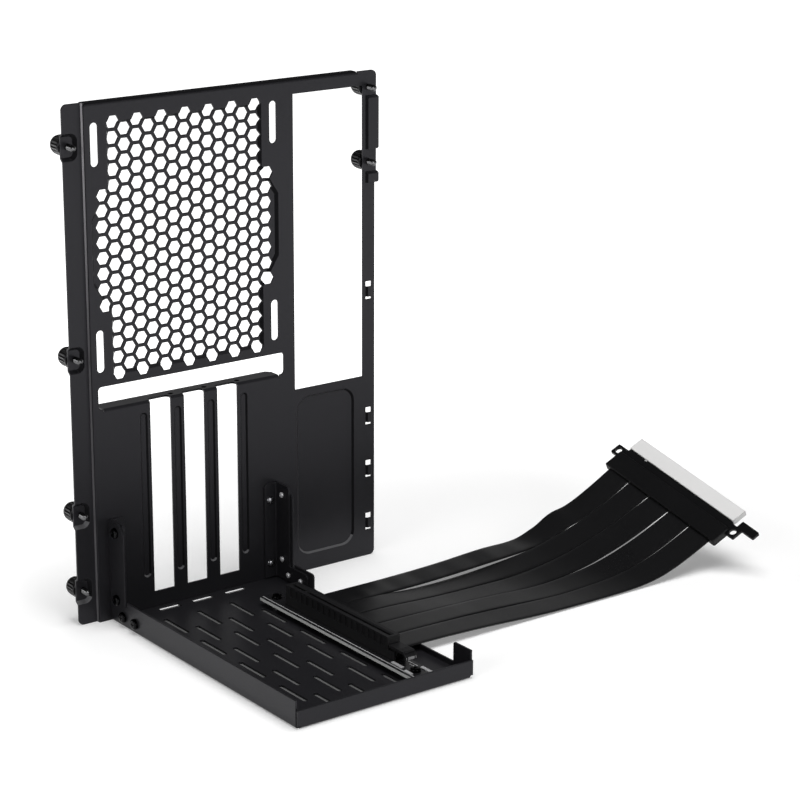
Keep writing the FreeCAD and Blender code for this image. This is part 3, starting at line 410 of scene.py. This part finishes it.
# Screws that hold the tray to the brackets, and the riser board to the tray
# Black machine screws with a pan head, a cross recess, a rolled thread and a bright bare tip.
screw_dark = (0.008, 0.008, 0.0085, 1)
screw_light = (0.016, 0.016, 0.017, 1)
tip_dark = (0.40, 0.40, 0.41, 1)
tip_light = (0.72, 0.72, 0.74, 1)
screw_radius = 0.0015
screw_recess_width = 0.0007
screw_recess_length = 0.0031
screw_recess_depth = 0.0010
screw_thread_pitch = 0.0005
screw_thread_depth = 0.00022
screw_bare_tip = 0.0014
screw_point_length = 0.0003
screw_point_share = 0.55
screw_neck_share = 0.9
screw_segments = 28
pan_edge_share = 0.94
pan_edge_rise = 0.12
pan_rim_rise = 0.42
pan_crown_share = 0.62
pan_top_share = 0.3
pan_steps = 6
recess_floor_arm = 0.22
recess_floor_half = 0.3
recess_over = 0.2


def cut_from(mesh, cutter):
    """Mesh with another one cut out of it."""
    base = bpy.data.objects.new("base", mesh)
    tool = bpy.data.objects.new("tool", cutter)
    for item in (base, tool):
        bpy.context.scene.collection.objects.link(item)
    cut = base.modifiers.new("cut", "BOOLEAN")
    cut.object = tool
    cut.solver = "EXACT"
    graph = bpy.context.evaluated_depsgraph_get()
    made = bpy.data.meshes.new_from_object(base.evaluated_get(graph))
    for item in (base, tool):
        bpy.data.objects.remove(item)
    return made


def cross_cutter(width, length, depth, top):
    """Tapered cross that a driver's tip leaves in a screw head."""
    levels = (
        (top - depth, length * recess_floor_arm, width * recess_floor_half),
        (top + depth * recess_over, length / 2, width / 2))
    work = bmesh.new()
    rings = []
    for height, arm, half in levels:
        corner = ((arm, -half), (arm, half), (half, half))
        ring = []
        for quarter in range(4):
            turn = Matrix.Rotation(quarter * math.pi / 2, 2)
            for point in corner:
                x, y = turn @ Vector(point)
                ring.append(work.verts.new((x, y, height)))
        rings.append(ring)
    join_rings(work, rings)
    return mesh_from(work, "cross")


def pan_screw(head_radius, head_height, shank_length):
    """Pan-head screw with its head's underside at z = 0 and its shank below."""
    root = screw_radius - screw_thread_depth
    profile = [
        (-shank_length, screw_radius * screw_point_share),
        (-shank_length + screw_point_length, root)]
    turns = int((shank_length - 2 * screw_point_length) / screw_thread_pitch)
    for n in range(turns):
        height = -shank_length + screw_point_length + n * screw_thread_pitch
        profile.append((height + screw_thread_pitch / 2, screw_radius))
        profile.append((height + screw_thread_pitch, root))
    profile.append((0.0, screw_radius * screw_neck_share))
    profile.append((0.0, head_radius * pan_edge_share))
    profile.append((head_height * pan_edge_rise, head_radius))
    for step in range(pan_steps + 1):
        lift = math.pi / 2 * step / pan_steps
        rise = head_height * (pan_rim_rise + (1 - pan_rim_rise) * math.sin(lift))
        profile.append((rise, head_radius * (pan_crown_share + (1 - pan_crown_share) * math.cos(lift))))
    profile.append((head_height, head_radius * pan_top_share))
    head = turned_mesh("pan screw", profile, screw_segments)
    cutter = cross_cutter(screw_recess_width, screw_recess_length, screw_recess_depth, head_height)
    screw = cut_from(head, cutter)
    for face in screw.polygons:
        face.material_index = int(face.center.z < screw_bare_tip - shank_length)
    return screw


def pan_screws(name, mesh, places, node):
    """Screws of one kind at their places, black with bare tips, in place of a CAD node."""
    screws = piece(name, copies(name, mesh, places), blackened, "bracket")
    screws.data.materials.append(bare_tip)
    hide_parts(node)


blackened = metal_finish("blackened steel", screw_dark, screw_light, grains=1800, gloss=(0.18, 0.30))
bare_tip = metal_finish("bare screw tip", tip_dark, tip_light, grains=1800, gloss=(0.25, 0.4), metallic=0.4)
tray_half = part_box("card_tray")[1].x
screw_solids = solids_of("tray_screws")
low, high = screw_solids[-1]
tray_screw_mesh = pan_screw((high.z - low.z) / 2, high.x - tray_half, tray_half - low.x)
screw_places = []
for low, high in screw_solids:
    middle = (low + high) / 2
    side = math.copysign(1, middle.x)
    screw_places.append(facing((side * tray_half, middle.y, middle.z), (side, 0, 0)))
pan_screws("pan_screws_tray", tray_screw_mesh, screw_places, "tray_screws")

board_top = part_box("slot_board")[1].z
screw_solids = solids_of("board_screws")
low, high = screw_solids[0]
board_screw_mesh = pan_screw((high.x - low.x) / 2, high.z - board_top, board_top - low.z)
screw_places = []
for low, high in screw_solids:
    middle = (low + high) / 2
    screw_places.append(facing((middle.x, middle.y, board_top), (0, 0, 1)))
pan_screws("pan_screws_board", board_screw_mesh, screw_places, "board_screws")

# Captive thumbscrews
# Turned steel with a straight knurl on the head, a domed back with a cross recess, a thin neck
# that keeps the screw in its ear and a rolled thread. Blackened, with a thread rubbed bright by use.
thread_dark = (0.03, 0.03, 0.031, 1)
thread_light = (0.22, 0.22, 0.225, 1)
thumb_head_length = 0.0098
# Heights and radii as shares of the head's own, from its collar to the far end of the knurl
thumb_head_shares = (
    (0.0, 0.3), (0.0, 0.86), (0.06, 0.95), (0.15, 0.95), (0.17, 1.0), (0.34, 1.0), (0.52, 1.0), (0.69, 1.0),
    (0.71, 0.965), (0.73, 0.955))
thumb_dome_from = 0.73
thumb_dome_flat = 0.45
thumb_dome_round = 0.505
thumb_dome_steps = 8
thumb_back_share = 0.42
thumb_recess_width = 0.0011
thumb_recess_length = 0.0048
thumb_recess_depth = 0.0016
knurl_count = 18
knurl_points = 6
knurl_depth = 0.0004
knurl_band = (0.16, 0.70)
thumb_neck_radius = 0.00143
thumb_neck_ahead = 0.0010
thumb_seat_gap = 0.0002
thumb_thread_radius = 0.00175
thumb_thread_pitch = 0.0008
thumb_thread_depth = 0.00035
thumb_tip_taper = 0.0006
thumb_tip_share = 0.3
thumb_tip_run = 2
thumb_tip_least = 0.4
thread_rings_per_turn = 8


def knurled(height, radius, angle):
    """Radius on the knurled band, ridged like a gear with many small teeth."""
    band_start = thumb_head_length * knurl_band[0]
    band_end = thumb_head_length * knurl_band[1]
    if not band_start < height < band_end:
        return radius
    ridge = abs(((angle * knurl_count / (2 * math.pi)) % 1.0) - 0.5) * 2
    return radius - knurl_depth * ridge


def thumb_head_mesh(radius):
    """Knurled head from its collar to its domed back, with a cross recess."""
    length = thumb_head_length
    profile = [(length * rise, radius * reach) for rise, reach in thumb_head_shares]
    for step in range(1, thumb_dome_steps):
        lift = math.pi / 2 * step / thumb_dome_steps
        rise = thumb_dome_from + (1 - thumb_dome_from) * math.sin(lift)
        profile.append((length * rise, radius * (thumb_dome_flat + thumb_dome_round * math.cos(lift))))
    profile.append((length, radius * thumb_back_share))
    head = turned_mesh("thumb head", profile, knurl_count * knurl_points, knurled)
    return cut_from(head, cross_cutter(thumb_recess_width, thumb_recess_length, thumb_recess_depth, length))


def threaded_rod(low, high):
    """Rod with a helical thread between two heights, thinner at its lower tip."""
    point = thumb_tip_taper * thumb_tip_share
    count = int((high - low) / thumb_thread_pitch * thread_rings_per_turn)
    profile = [(low, thumb_thread_radius - thumb_tip_taper)]
    for n in range(count + 1):
        profile.append((low + point + (high - low - point) * n / count, thumb_thread_radius))

    def groove(height, reach, angle):
        turn = (height / thumb_thread_pitch - angle / (2 * math.pi)) % 1.0
        tip = min(1.0, (height - low) / (thumb_tip_taper * thumb_tip_run) + thumb_tip_least)
        return (reach - thumb_thread_depth * abs(turn - 0.5) * 2) * tip
    return turned_mesh("thread", profile, shape=groove)


rubbed_thread = metal_finish("rubbed thread", thread_dark, thread_light, grains=1400, gloss=(0.18, 0.3))
thumb_names = sorted(name for name in nodes if name.startswith("thumbscrew_"))
low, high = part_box(thumb_names[0])
thumb_radius = (high.x - low.x) / 2
thumb_reach = high.y - thumb_head_length - low.y
thread_start = -(thumb_seat_gap + sheet_thickness + thumb_neck_ahead)
head_template = thumb_head_mesh(thumb_radius)
rod_template = threaded_rod(-thumb_reach, thread_start)
neck_template = turned_mesh("neck", [(thread_start, thumb_neck_radius), (0.0, thumb_neck_radius)])
for name in thumb_names:
    low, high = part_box(name)
    middle = (low + high) / 2
    place = facing((middle.x, high.y - thumb_head_length, middle.z), (0, 1, 0))
    work = bmesh.new()
    for template, slot in ((head_template, 0), (rod_template, 1), (neck_template, 1)):
        part = template.copy()
        part.transform(place)
        for face in part.polygons:
            face.material_index = slot
        work.from_mesh(part)
        bpy.data.meshes.remove(part)
    screw = piece("knurled_" + name, mesh_from(work, name), blackened, name, smooth_angle=25)
    screw.data.materials.append(rubbed_thread)
    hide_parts(name)

# Riser board under the card socket
# A glass-fibre circuit board with black resist on both faces and pale bare edges.
# It sits on two short turned spacers.
resist_dark = (0.008, 0.008, 0.009, 1)
resist_light = (0.014, 0.014, 0.0155, 1)
bare_edge = (0.76, 0.77, 0.76, 1)
bare_edge_slope = 0.5
spacer_dark = (0.42, 0.42, 0.44, 1)
spacer_light = (0.6, 0.6, 0.62, 1)
board_resist = grained_finish(
    "board resist", dark=resist_dark, light=resist_light, grains=900, height=0.000004,
    gloss=(0.22, 0.32), specular=0.5)
board_tree = board_resist.node_tree
board_side = passing(board_tree, normal_axes(board_tree).outputs["Z"], "COMPARE", 0.0, bare_edge_slope)
blend_in(board_tree, "Base Color", "RGBA", bare_edge, board_side)
dress(board_resist, "slot_board")
turned_metal = metal_finish("turned spacer", spacer_dark, spacer_light, grains=1200, gloss=(0.3, 0.42))
dress(turned_metal, "board_spacers")

# Soldered joints on the riser board
# A tinned trace with a row of small pads beside the socket, and rows of tinned legs and pads at the
# board's front end.
tin_dark = (0.62, 0.62, 0.63, 1)
tin_light = (0.92, 0.92, 0.93, 1)
leg_rounding = 0.00012
pad_length = 0.0010
pad_width = 0.0005
pad_height = 0.00012
pad_rounding = 0.00008
pad_pitch = 0.0020
pad_inset = 0.0019
pads_skipped = 3
# Rows of pads at the front end: place across the board, distance from its front edge, and count
front_pad_rows = ((0.0295, 0.0165, 5), (0.0312, 0.0200, 6))
front_pad_pitch = 0.0014
edge_trace_width = 0.00035
edge_trace_end = 0.0006
edge_trace_rounding = 0.00004
tin = metal_finish("tinned solder", tin_dark, tin_light, grains=2400, gloss=(0.30, 0.45), metallic=0.35)


def soft_block(size, rounding):
    """Small block with rounded edges, about the origin."""
    work = bmesh.new()
    bmesh.ops.create_cube(work, size=1.0)
    bmesh.ops.scale(work, verts=work.verts, vec=size)
    bmesh.ops.bevel(work, geom=work.edges[:], offset=rounding, segments=2, affect="EDGES")
    return mesh_from(work, "block")


leg_solids = solids_of("board_pins")
leg_low, leg_high = leg_solids[-1]
leg_mesh = soft_block(leg_high - leg_low, leg_rounding)
leg_places = [Matrix.Translation((low + high) / 2) for low, high in leg_solids]
legs = piece("tinned_legs", copies("tinned legs", leg_mesh, leg_places), tin, "bracket")
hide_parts("board_pins")
board_low, board_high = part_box("slot_board")
socket_low, socket_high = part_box("slot_housing")
pad_x = board_low.x + pad_inset
trace_length = board_high.y - board_low.y - 2 * edge_trace_end
trace_mesh = soft_block((edge_trace_width, trace_length, pad_height), edge_trace_rounding)
trace_mesh.transform(Matrix.Translation((pad_x, (board_low.y + board_high.y) / 2, board_top)))
pad_places = []
pad_y = socket_low.y + pad_pitch * pads_skipped
while pad_y < socket_high.y:
    pad_places.append(Matrix.Translation((pad_x, pad_y, board_top)))
    pad_y += pad_pitch
for row_x, inset, count in front_pad_rows:
    for n in range(count):
        pad_y = board_low.y + inset - front_pad_pitch * n
        pad_places.append(Matrix.Translation((row_x, pad_y, board_top)))
pad_mesh = soft_block((pad_width, pad_length, pad_height * 2), pad_rounding)
pads = piece("solder_pads", copies("solder pads", pad_mesh, pad_places), tin, "bracket")
trace = piece("edge_trace", trace_mesh, tin, "bracket")

# Card socket
# A long moulded housing with ribbed sides, in black glass-filled plastic, with a row of sprung
# contacts along each side of its groove.
plastic_dark = (0.0075, 0.0075, 0.0082, 1)
plastic_light = (0.0125, 0.0125, 0.0134, 1)
contact_dark = (0.72, 0.52, 0.22, 1)
contact_light = (0.9, 0.72, 0.4, 1)
contact_pitch = 0.001
contact_width = 0.0006
contact_depth_top = 0.0022
contact_depth_low = 0.0068
contact_bulge = 0.00035
contact_gap = 0.00002
groove_half = 0.000885
# Start and end of the contacts on each side of the socket's key, from its rear end
socket_short_run = (0.0020, 0.0132)
socket_long_run = (0.0162, 0.0870)
moulded_black = grained_finish(
    "moulded black plastic", dark=plastic_dark, light=plastic_light, grains=3200, height=0.000012,
    gloss=(0.38, 0.52), specular=0.4, edge_round=0.00025)
dress(moulded_black, "slot_housing")
socket_x = (socket_low.x + socket_high.x) / 2
contact_bend = (
    (groove_half, -contact_depth_top),
    (groove_half - contact_bulge, -(contact_depth_top + contact_depth_low) / 2),
    (groove_half, -contact_depth_low))
work = bmesh.new()
rows = []
for reach, drop in contact_bend:
    row = []
    for offset in (-contact_width / 2, contact_width / 2):
        row.append(work.verts.new((reach + contact_gap, offset, drop)))
    rows.append(row)
for upper, lower in zip(rows, rows[1:]):
    work.faces.new((upper[0], upper[1], lower[1], lower[0]))
contact_mesh = mesh_from(work, "contact")
contact_places = []
for run_start, run_end in (socket_short_run, socket_long_run):
    for n in range(int((run_end - run_start) / contact_pitch)):
        y = socket_high.y - run_start - contact_pitch * (n + 0.5)
        spot = Matrix.Translation((socket_x, y, socket_high.z))
        contact_places.append(spot)
        contact_places.append(spot @ Matrix.Rotation(math.pi, 4, "Z"))
gold = metal_finish("contact gold", contact_dark, contact_light, grains=2000, gloss=(0.2, 0.3))
contact_rows = copies("socket contacts", contact_mesh, contact_places)
contacts = piece("socket_contacts", contact_rows, gold, "bracket")

# Socket latch
# A small moulded lever on two pins, with grip ridges across its finger pad. Same plastic, with a painted
# highlight along the front lip between two slots.
# Painted highlight: pale patches on the lip's front stand in for the light it reflects
lip_highlight_dark = (0.30, 0.30, 0.31, 1)
lip_highlight_light = (0.48, 0.48, 0.49, 1)
lip_highlight_height = 0.0016
lip_highlight_depth = 0.0003
lip_highlight_rise = 0.0021
lip_highlight_inset = 0.0001
# Places across the lip and widths of its painted highlight runs
lip_highlight_runs = ((-0.0029, 0.0005), (0.0, 0.0040), (0.0029, 0.0005))
ridge_count = 5
ridge_height = 0.00025
ridge_depth = 0.0005
ridge_sunk_share = 0.6
ridge_run = 0.0052
ridge_start = 0.0012
ridge_side = 0.0008
latch_rounding = 0.0001
dress(moulded_black, "slot_latch")
latch_low, latch_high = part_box("slot_latch")
latch_x = (latch_low.x + latch_high.x) / 2
ridge_z = latch_high.z - ridge_height * ridge_sunk_share
ridge_width = latch_high.x - latch_low.x - 2 * ridge_side
ridge_mesh = soft_block((ridge_width, ridge_depth, ridge_height * 2), latch_rounding)
ridge_places = []
for n in range(ridge_count):
    y = latch_low.y + ridge_start + ridge_run * n / (ridge_count - 1)
    ridge_places.append(Matrix.Translation((latch_x, y, ridge_z)))
ridge_rows = copies("latch ridges", ridge_mesh, ridge_places)
ridges = piece("latch_ridges", ridge_rows, moulded_black, "slot_latch")
# Painted highlight on the latch's front lip
lip_highlight_paint = grained_finish(
    "painted lip highlight", dark=lip_highlight_dark, light=lip_highlight_light, grains=2200, height=0.000010,
    gloss=(0.3, 0.45), specular=0.5)
lip_highlight_y = latch_low.y + lip_highlight_inset
lip_highlight_z = latch_low.z + lip_highlight_rise + lip_highlight_height / 2
work = bmesh.new()
for offset, width in lip_highlight_runs:
    patch = soft_block((width, lip_highlight_depth, lip_highlight_height), latch_rounding)
    patch.transform(Matrix.Translation((socket_x + offset, lip_highlight_y, lip_highlight_z)))
    work.from_mesh(patch)
    bpy.data.meshes.remove(patch)
lip_highlight = piece("latch_painted_highlight", mesh_from(work, "painted lip highlight"), lip_highlight_paint, "slot_latch")

# Flat ribbon strips
# Five flat shielded cables side by side, each in a thin satin black jacket with fine lengthwise ribs.
# They leave the riser board over the tray's lip, lie on the floor and rise into the plug.
strip_count = 5
strip_width = 0.0166
strip_thickness = 0.0010
strip_pitch = 0.0167
strip_middle_y = -0.0021
strip_stations = (0.03337, 0.050, 0.072, 0.098, 0.126, 0.154, 0.178, 0.192, 0.204, 0.216, 0.232, 0.24845)
# Heights of each strip's line at those stations, from the back strip to the front one
strip_heights = (
    (0.0048, 0.0048, 0.0044, 0.0044, 0.0052, 0.0069, 0.0072, 0.0106, 0.0163, 0.0187, 0.0251, 0.03396),
    (0.0048, 0.0048, 0.0042, 0.0026, 0.0025, 0.0036, 0.0062, 0.0093, 0.0125, 0.0164, 0.0222, 0.03011),
    (0.0048, 0.0048, 0.0042, 0.0030, 0.0023, 0.0014, 0.0042, 0.0068, 0.0101, 0.0136, 0.0194, 0.02625),
    (0.0048, 0.0048, 0.0044, 0.0040, 0.0028, 0.0009, 0.0021, 0.0036, 0.0060, 0.0094, 0.0150, 0.02239),
    (0.0048, 0.0048, 0.0044, 0.0036, 0.0020, 0.0010, 0.0014, 0.0020, 0.0033, 0.0058, 0.0112, 0.01854),
)
loose_strip_lean = (0.0, 0.0, 2.0, 3.0, 3.0, 4.0, 0.0, 6.0, 14.0, 9.0, 12.0, 13.0)
strip_spline_order = 3
strip_steps_between = 10
strip_flat_steps = 8
strip_round_steps = 6
jacket_dark = (0.0045, 0.0045, 0.0049, 1)
jacket_light = (0.0075, 0.0075, 0.0081, 1)
jacket_rib_count = 22
jacket_rib_strength = 0.25
jacket_rib_height = 0.00003
jacket_wave_height = 0.00015
jacket_wave_scale = (0.15, 1.3, 1.0)
loose_wave_height = 0.0009


def ribbon_finish(name, wave_height):
    """Satin jacket: grain, faint ribs along the strip over its wires, and slow waves across it."""
    material = grained_finish(
        name, dark=jacket_dark, light=jacket_light, grains=1400, height=0.000010,
        gloss=(0.26, 0.38), specular=0.5)
    tree = material.node_tree
    add = tree.nodes.new
    link = tree.links.new
    strip = add("ShaderNodeUVMap")
    strip.uv_map = "strip"
    axes = add("ShaderNodeSeparateXYZ")
    turns = add("ShaderNodeMath")
    turns.operation = "MULTIPLY"
    turns.inputs[1].default_value = jacket_rib_count * 2 * math.pi
    wave = add("ShaderNodeMath")
    wave.operation = "COSINE"
    ribs = add("ShaderNodeBump")
    ribs.inputs["Strength"].default_value = jacket_rib_strength
    ribs.inputs["Distance"].default_value = jacket_rib_height
    stretch = add("ShaderNodeMapping")
    stretch.inputs["Scale"].default_value = jacket_wave_scale
    slow = add("ShaderNodeTexNoise")
    slow.inputs["Scale"].default_value = 1.0
    slow.inputs["Detail"].default_value = 0.0
    waves = add("ShaderNodeBump")
    waves.inputs["Distance"].default_value = wave_height
    link(strip.outputs["UV"], stretch.inputs["Vector"])
    link(stretch.outputs["Vector"], slow.inputs["Vector"])
    link(slow.outputs["Fac"], waves.inputs["Height"])
    link(waves.outputs["Normal"], ribs.inputs["Normal"])
    link(strip.outputs["UV"], axes.inputs["Vector"])
    link(axes.outputs["X"], turns.inputs[0])
    link(turns.outputs["Value"], wave.inputs[0])
    link(wave.outputs["Value"], ribs.inputs["Height"])
    link(ribs.outputs["Normal"], tree.nodes["Bump"].inputs["Normal"])
    return material


def strip_line(name, points):
    """Points along the smooth spline that a strip follows."""
    curve = bpy.data.curves.new(name, "CURVE")
    curve.dimensions = "3D"
    curve.resolution_u = strip_steps_between
    spline = curve.splines.new("NURBS")
    spline.points.add(len(points) - 1)
    for spot, point in zip(spline.points, points):
        spot.co = (*point, 1)
    spline.order_u = strip_spline_order
    spline.use_endpoint_u = True
    holder = bpy.data.objects.new(name, curve)
    bpy.context.scene.collection.objects.link(holder)
    graph = bpy.context.evaluated_depsgraph_get()
    made = bpy.data.meshes.new_from_object(holder.evaluated_get(graph))
    line = [vert.co.copy() for vert in made.vertices]
    bpy.data.objects.remove(holder)
    bpy.data.meshes.remove(made)
    return line


def strip_section():
    """Section of a strip: flat faces and round edges, as (across, out) points."""
    thick = strip_thickness / 2
    flat = strip_width / 2 - thick
    section = []
    for side in (1, -1):
        for n in range(strip_flat_steps + 1):
            section.append((side * (-flat + 2 * flat * n / strip_flat_steps), side * thick))
        for n in range(1, strip_round_steps):
            angle = side * math.pi / 2 - math.pi * n / strip_round_steps
            section.append((side * flat + thick * math.cos(angle), thick * math.sin(angle)))
    return section


def lean_at(x):
    """How far the loose back strip leans towards the front at a place along its run."""
    for n in range(len(strip_stations) - 1):
        share = (x - strip_stations[n]) / (strip_stations[n + 1] - strip_stations[n])
        if share <= 1.0:
            break
    share = share * share * (3 - 2 * share)
    return math.radians(loose_strip_lean[n] * (1 - share) + loose_strip_lean[n + 1] * share)


def strip_mesh(name, n, lines):
    """Strip swept along its line; it leans so that its edges meet its neighbours' edges."""
    work = bmesh.new()
    layer = work.loops.layers.uv.new("strip")
    section = strip_section()
    line = lines[n]
    run = 0.0
    rings = []
    spots = {}
    for k, point in enumerate(line):
        before = line[max(k - 1, 0)]
        after = line[min(k + 1, len(line) - 1)]
        run += (point - before).length
        if n == 0:
            lean = lean_at(point.x)
        else:
            behind = lines[max(n - 1, 1)][k]
            nearer = lines[min(n + 1, strip_count - 1)][k]
            lean = math.atan2(behind.z - nearer.z, behind.y - nearer.y)
        across = Vector((0, -math.cos(lean), -math.sin(lean)))
        up = across.cross(after - before).normalized()
        ring = []
        for reach, rise in section:
            vert = work.verts.new(point + across * reach + up * rise)
            spots[vert] = (reach / strip_width + 0.5, run / strip_width)
            ring.append(vert)
        rings.append(ring)
    for face in join_rings(work, rings):
        for loop in face.loops:
            loop[layer].uv = spots[loop.vert]
    return mesh_from(work, name)


jacket = ribbon_finish("ribbon jacket", jacket_wave_height)
loose_jacket = ribbon_finish("loose ribbon jacket", loose_wave_height)
strip_lines = []
for n in range(strip_count):
    y = strip_middle_y - (n - (strip_count - 1) / 2) * strip_pitch
    route = [(x, y, z) for x, z in zip(strip_stations, strip_heights[n])]
    strip_lines.append(strip_line(f"strip line {n + 1}", route))
for n, line in enumerate(strip_lines):
    mesh = strip_mesh(f"ribbon strip {n + 1}", n, strip_lines)
    strip = piece(f"ribbon_strip_{n + 1}", mesh, jacket if n else loose_jacket, "bracket", smooth_angle=60)
    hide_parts(f"ribbon_{n + 1}")

# Edge plug
# A short circuit board with a keyed contact edge, between two moulded black covers, and a milky
# plastic cap that protects the contacts until the plug is used.
cover_dark = (0.0036, 0.0036, 0.0039, 1)
cover_light = (0.0062, 0.0062, 0.0067, 1)
cap_dark = (0.76, 0.76, 0.76, 1)
cap_light = (0.84, 0.83, 0.82, 1)
cap_clearness = 0.15
plug_edge_round = 0.0003
cover_plastic = grained_finish(
    "cover plastic", dark=cover_dark, light=cover_light, grains=2600, height=0.000016,
    gloss=(0.42, 0.56), specular=0.22, edge_round=plug_edge_round)
dress(cover_plastic, "plug_cover_top", "plug_cover_bottom")
plug_resist = grained_finish(
    "plug resist", dark=cover_dark, light=cover_light, grains=900, height=0.000004,
    gloss=(0.3, 0.4), specular=0.18)
dress(plug_resist, "plug_board")
cap_plastic = grained_finish(
    "milky cap plastic", dark=cap_dark, light=cap_light, grains=1200, height=0.000008,
    gloss=(0.28, 0.42), specular=0.5, edge_round=plug_edge_round)
cap_shader = cap_plastic.node_tree.nodes["Principled BSDF"]
cap_shader.inputs["Transmission Weight"].default_value = cap_clearness
dress(cap_plastic, "plug_cap")

# Studio
# A white floor that glows towards a white background, with painted shade under the tray, soft lamps
# overhead, low in front and on the left, a sky that is pale near the floor and darker in front, and a long
# lens.
floor_colour = (0.80, 0.80, 0.80, 1)
# Painted shade: the floor face under the tray is dark grey paint, with no glow
painted_floor_shade = (0.12, 0.12, 0.12, 1)
floor_roughness = 0.9
floor_half = 6.0
floor_glow = (0.21, 1.0)
floor_white_reach = (0.16, 0.50)
floor_middle = (0.13, -0.02, 0.0)
shade_inset = 0.002
shade_end = 0.0031
shaded_face = 4
sky_white = (1, 1, 1, 1)
sky_heights = (0.27, 0.60)
sky_levels = (0.34, 0.04)
sky_front_reach = (-0.6, 0.0)
sky_front_shares = (0.3, 1.0)
camera_place = Vector((-0.6546, -0.9705, 0.4853))
camera_azimuth = math.radians(-36.75)
camera_elevation = math.radians(16.87)
camera_roll = math.radians(0.25)
camera_lens = 112.6
camera_sensor = 36.0
camera_far = 50.0


def floor_paint(name, colour):
    """Matt floor paint."""
    material = bpy.data.materials.new(name)
    material.use_nodes = True
    shader = material.node_tree.nodes["Principled BSDF"]
    shader.inputs["Base Color"].default_value = colour
    shader.inputs["Roughness"].default_value = floor_roughness
    shader.inputs["Specular IOR Level"].default_value = 0.0
    return material


def add_glow(material):
    """Let camera, mirrored and transmitted rays see the floor glow, more so far from its middle."""
    tree = material.node_tree
    add = tree.nodes.new
    link = tree.links.new
    shader = tree.nodes["Principled BSDF"]
    place = add("ShaderNodeNewGeometry")
    away = add("ShaderNodeVectorMath")
    away.operation = "DISTANCE"
    away.inputs[1].default_value = floor_middle
    link(place.outputs["Position"], away.inputs[0])
    fade = map_range(tree, away.outputs["Value"], floor_white_reach, floor_glow, smooth=True)
    glow = add("ShaderNodeEmission")
    link(fade.outputs["Result"], glow.inputs["Strength"])
    both = add("ShaderNodeAddShader")
    link(shader.outputs["BSDF"], both.inputs[0])
    link(glow.outputs["Emission"], both.inputs[1])
    path = add("ShaderNodeLightPath")
    glowing = path.outputs["Is Camera Ray"]
    for kind in ("Is Glossy Ray", "Is Transmission Ray"):
        either = add("ShaderNodeMath")
        either.operation = "MAXIMUM"
        link(glowing, either.inputs[0])
        link(path.outputs[kind], either.inputs[1])
        glowing = either.outputs["Value"]
    seen = add("ShaderNodeMixShader")
    link(glowing, seen.inputs["Fac"])
    link(shader.outputs["BSDF"], seen.inputs[1])
    link(both.outputs["Shader"], seen.inputs[2])
    link(seen.outputs["Shader"], tree.nodes["Material Output"].inputs["Surface"])


tray_low, tray_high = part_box("card_tray")
floor_xs = (-floor_half, tray_low.x + shade_inset, tray_high.x - shade_inset, floor_half)
floor_ys = (-floor_half, tray_low.y + shade_inset, tray_high.y - shade_end, floor_half)
floor_points = [(x, y, 0) for y in floor_ys for x in floor_xs]
floor_faces = []
for row in range(len(floor_ys) - 1):
    for column in range(len(floor_xs) - 1):
        first = row * len(floor_xs) + column
        above = first + len(floor_xs)
        floor_faces.append((first, first + 1, above + 1, above))
floor_mesh = bpy.data.meshes.new("floor")
floor_mesh.from_pydata(floor_points, [], floor_faces)
white_paint = floor_paint("white floor", floor_colour)
add_glow(white_paint)
floor_mesh.materials.append(white_paint)
# Painted shade on the floor face under the tray
floor_mesh.materials.append(floor_paint("floor with painted shade", painted_floor_shade))
floor_mesh.polygons[shaded_face].material_index = 1
floor = bpy.data.objects.new("floor", floor_mesh)
bpy.context.scene.collection.objects.link(floor)

world = bpy.data.worlds.new("studio")
bpy.context.scene.world = world
world.use_nodes = True
sky = world.node_tree
backdrop = sky.nodes["Background"]
backdrop.inputs["Color"].default_value = sky_white
ray = sky.nodes.new("ShaderNodeTexCoord")
ray_axes = sky.nodes.new("ShaderNodeSeparateXYZ")
sky.links.new(ray.outputs["Generated"], ray_axes.inputs["Vector"])
level = map_range(sky, ray_axes.outputs["Z"], sky_heights, sky_levels)
share = map_range(sky, ray_axes.outputs["Y"], sky_front_reach, sky_front_shares)
strength = sky.nodes.new("ShaderNodeMath")
strength.operation = "MULTIPLY"
sky.links.new(level.outputs["Result"], strength.inputs[0])
sky.links.new(share.outputs["Result"], strength.inputs[1])
sky.links.new(strength.outputs["Value"], backdrop.inputs["Strength"])


def soft_lamp(name, place, aim, size, watts):
    """Square soft lamp at a place, aimed at a point."""
    light = bpy.data.lights.new(name, "AREA")
    light.size = size
    light.energy = watts
    lamp = bpy.data.objects.new(name, light)
    lamp.location = place
    lamp.rotation_euler = (Vector(aim) - Vector(place)).to_track_quat("-Z", "Y").to_euler()
    bpy.context.scene.collection.objects.link(lamp)
    return lamp


overhead = soft_lamp("overhead", place=(0.15, -0.1, 1.6), aim=(0.08, 0.0, 0.1), size=1.2, watts=24)
overhead.visible_glossy = False
soft_lamp("low front", place=(0.0, -1.6, 0.55), aim=(0.02, 0.05, 0.12), size=0.7, watts=7)
soft_lamp("left fill", place=(-1.0, -0.25, 0.5), aim=(0.0, 0.0, 0.1), size=0.5, watts=2.5)

camera_data = bpy.data.cameras.new("camera")
camera_data.lens = camera_lens
camera_data.sensor_width = camera_sensor
camera_data.clip_end = camera_far
camera = bpy.data.objects.new("camera", camera_data)
forward = Vector((
    -math.sin(camera_azimuth) * math.cos(camera_elevation),
    math.cos(camera_azimuth) * math.cos(camera_elevation),
    -math.sin(camera_elevation)))
look = forward.to_track_quat("-Z", "Y").to_matrix().to_4x4()
camera.matrix_world = Matrix.Translation(camera_place) @ look @ Matrix.Rotation(camera_roll, 4, "Z")
bpy.context.scene.collection.objects.link(camera)
bpy.context.scene.camera = camera
bpy.context.scene.view_settings.view_transform = "Standard"
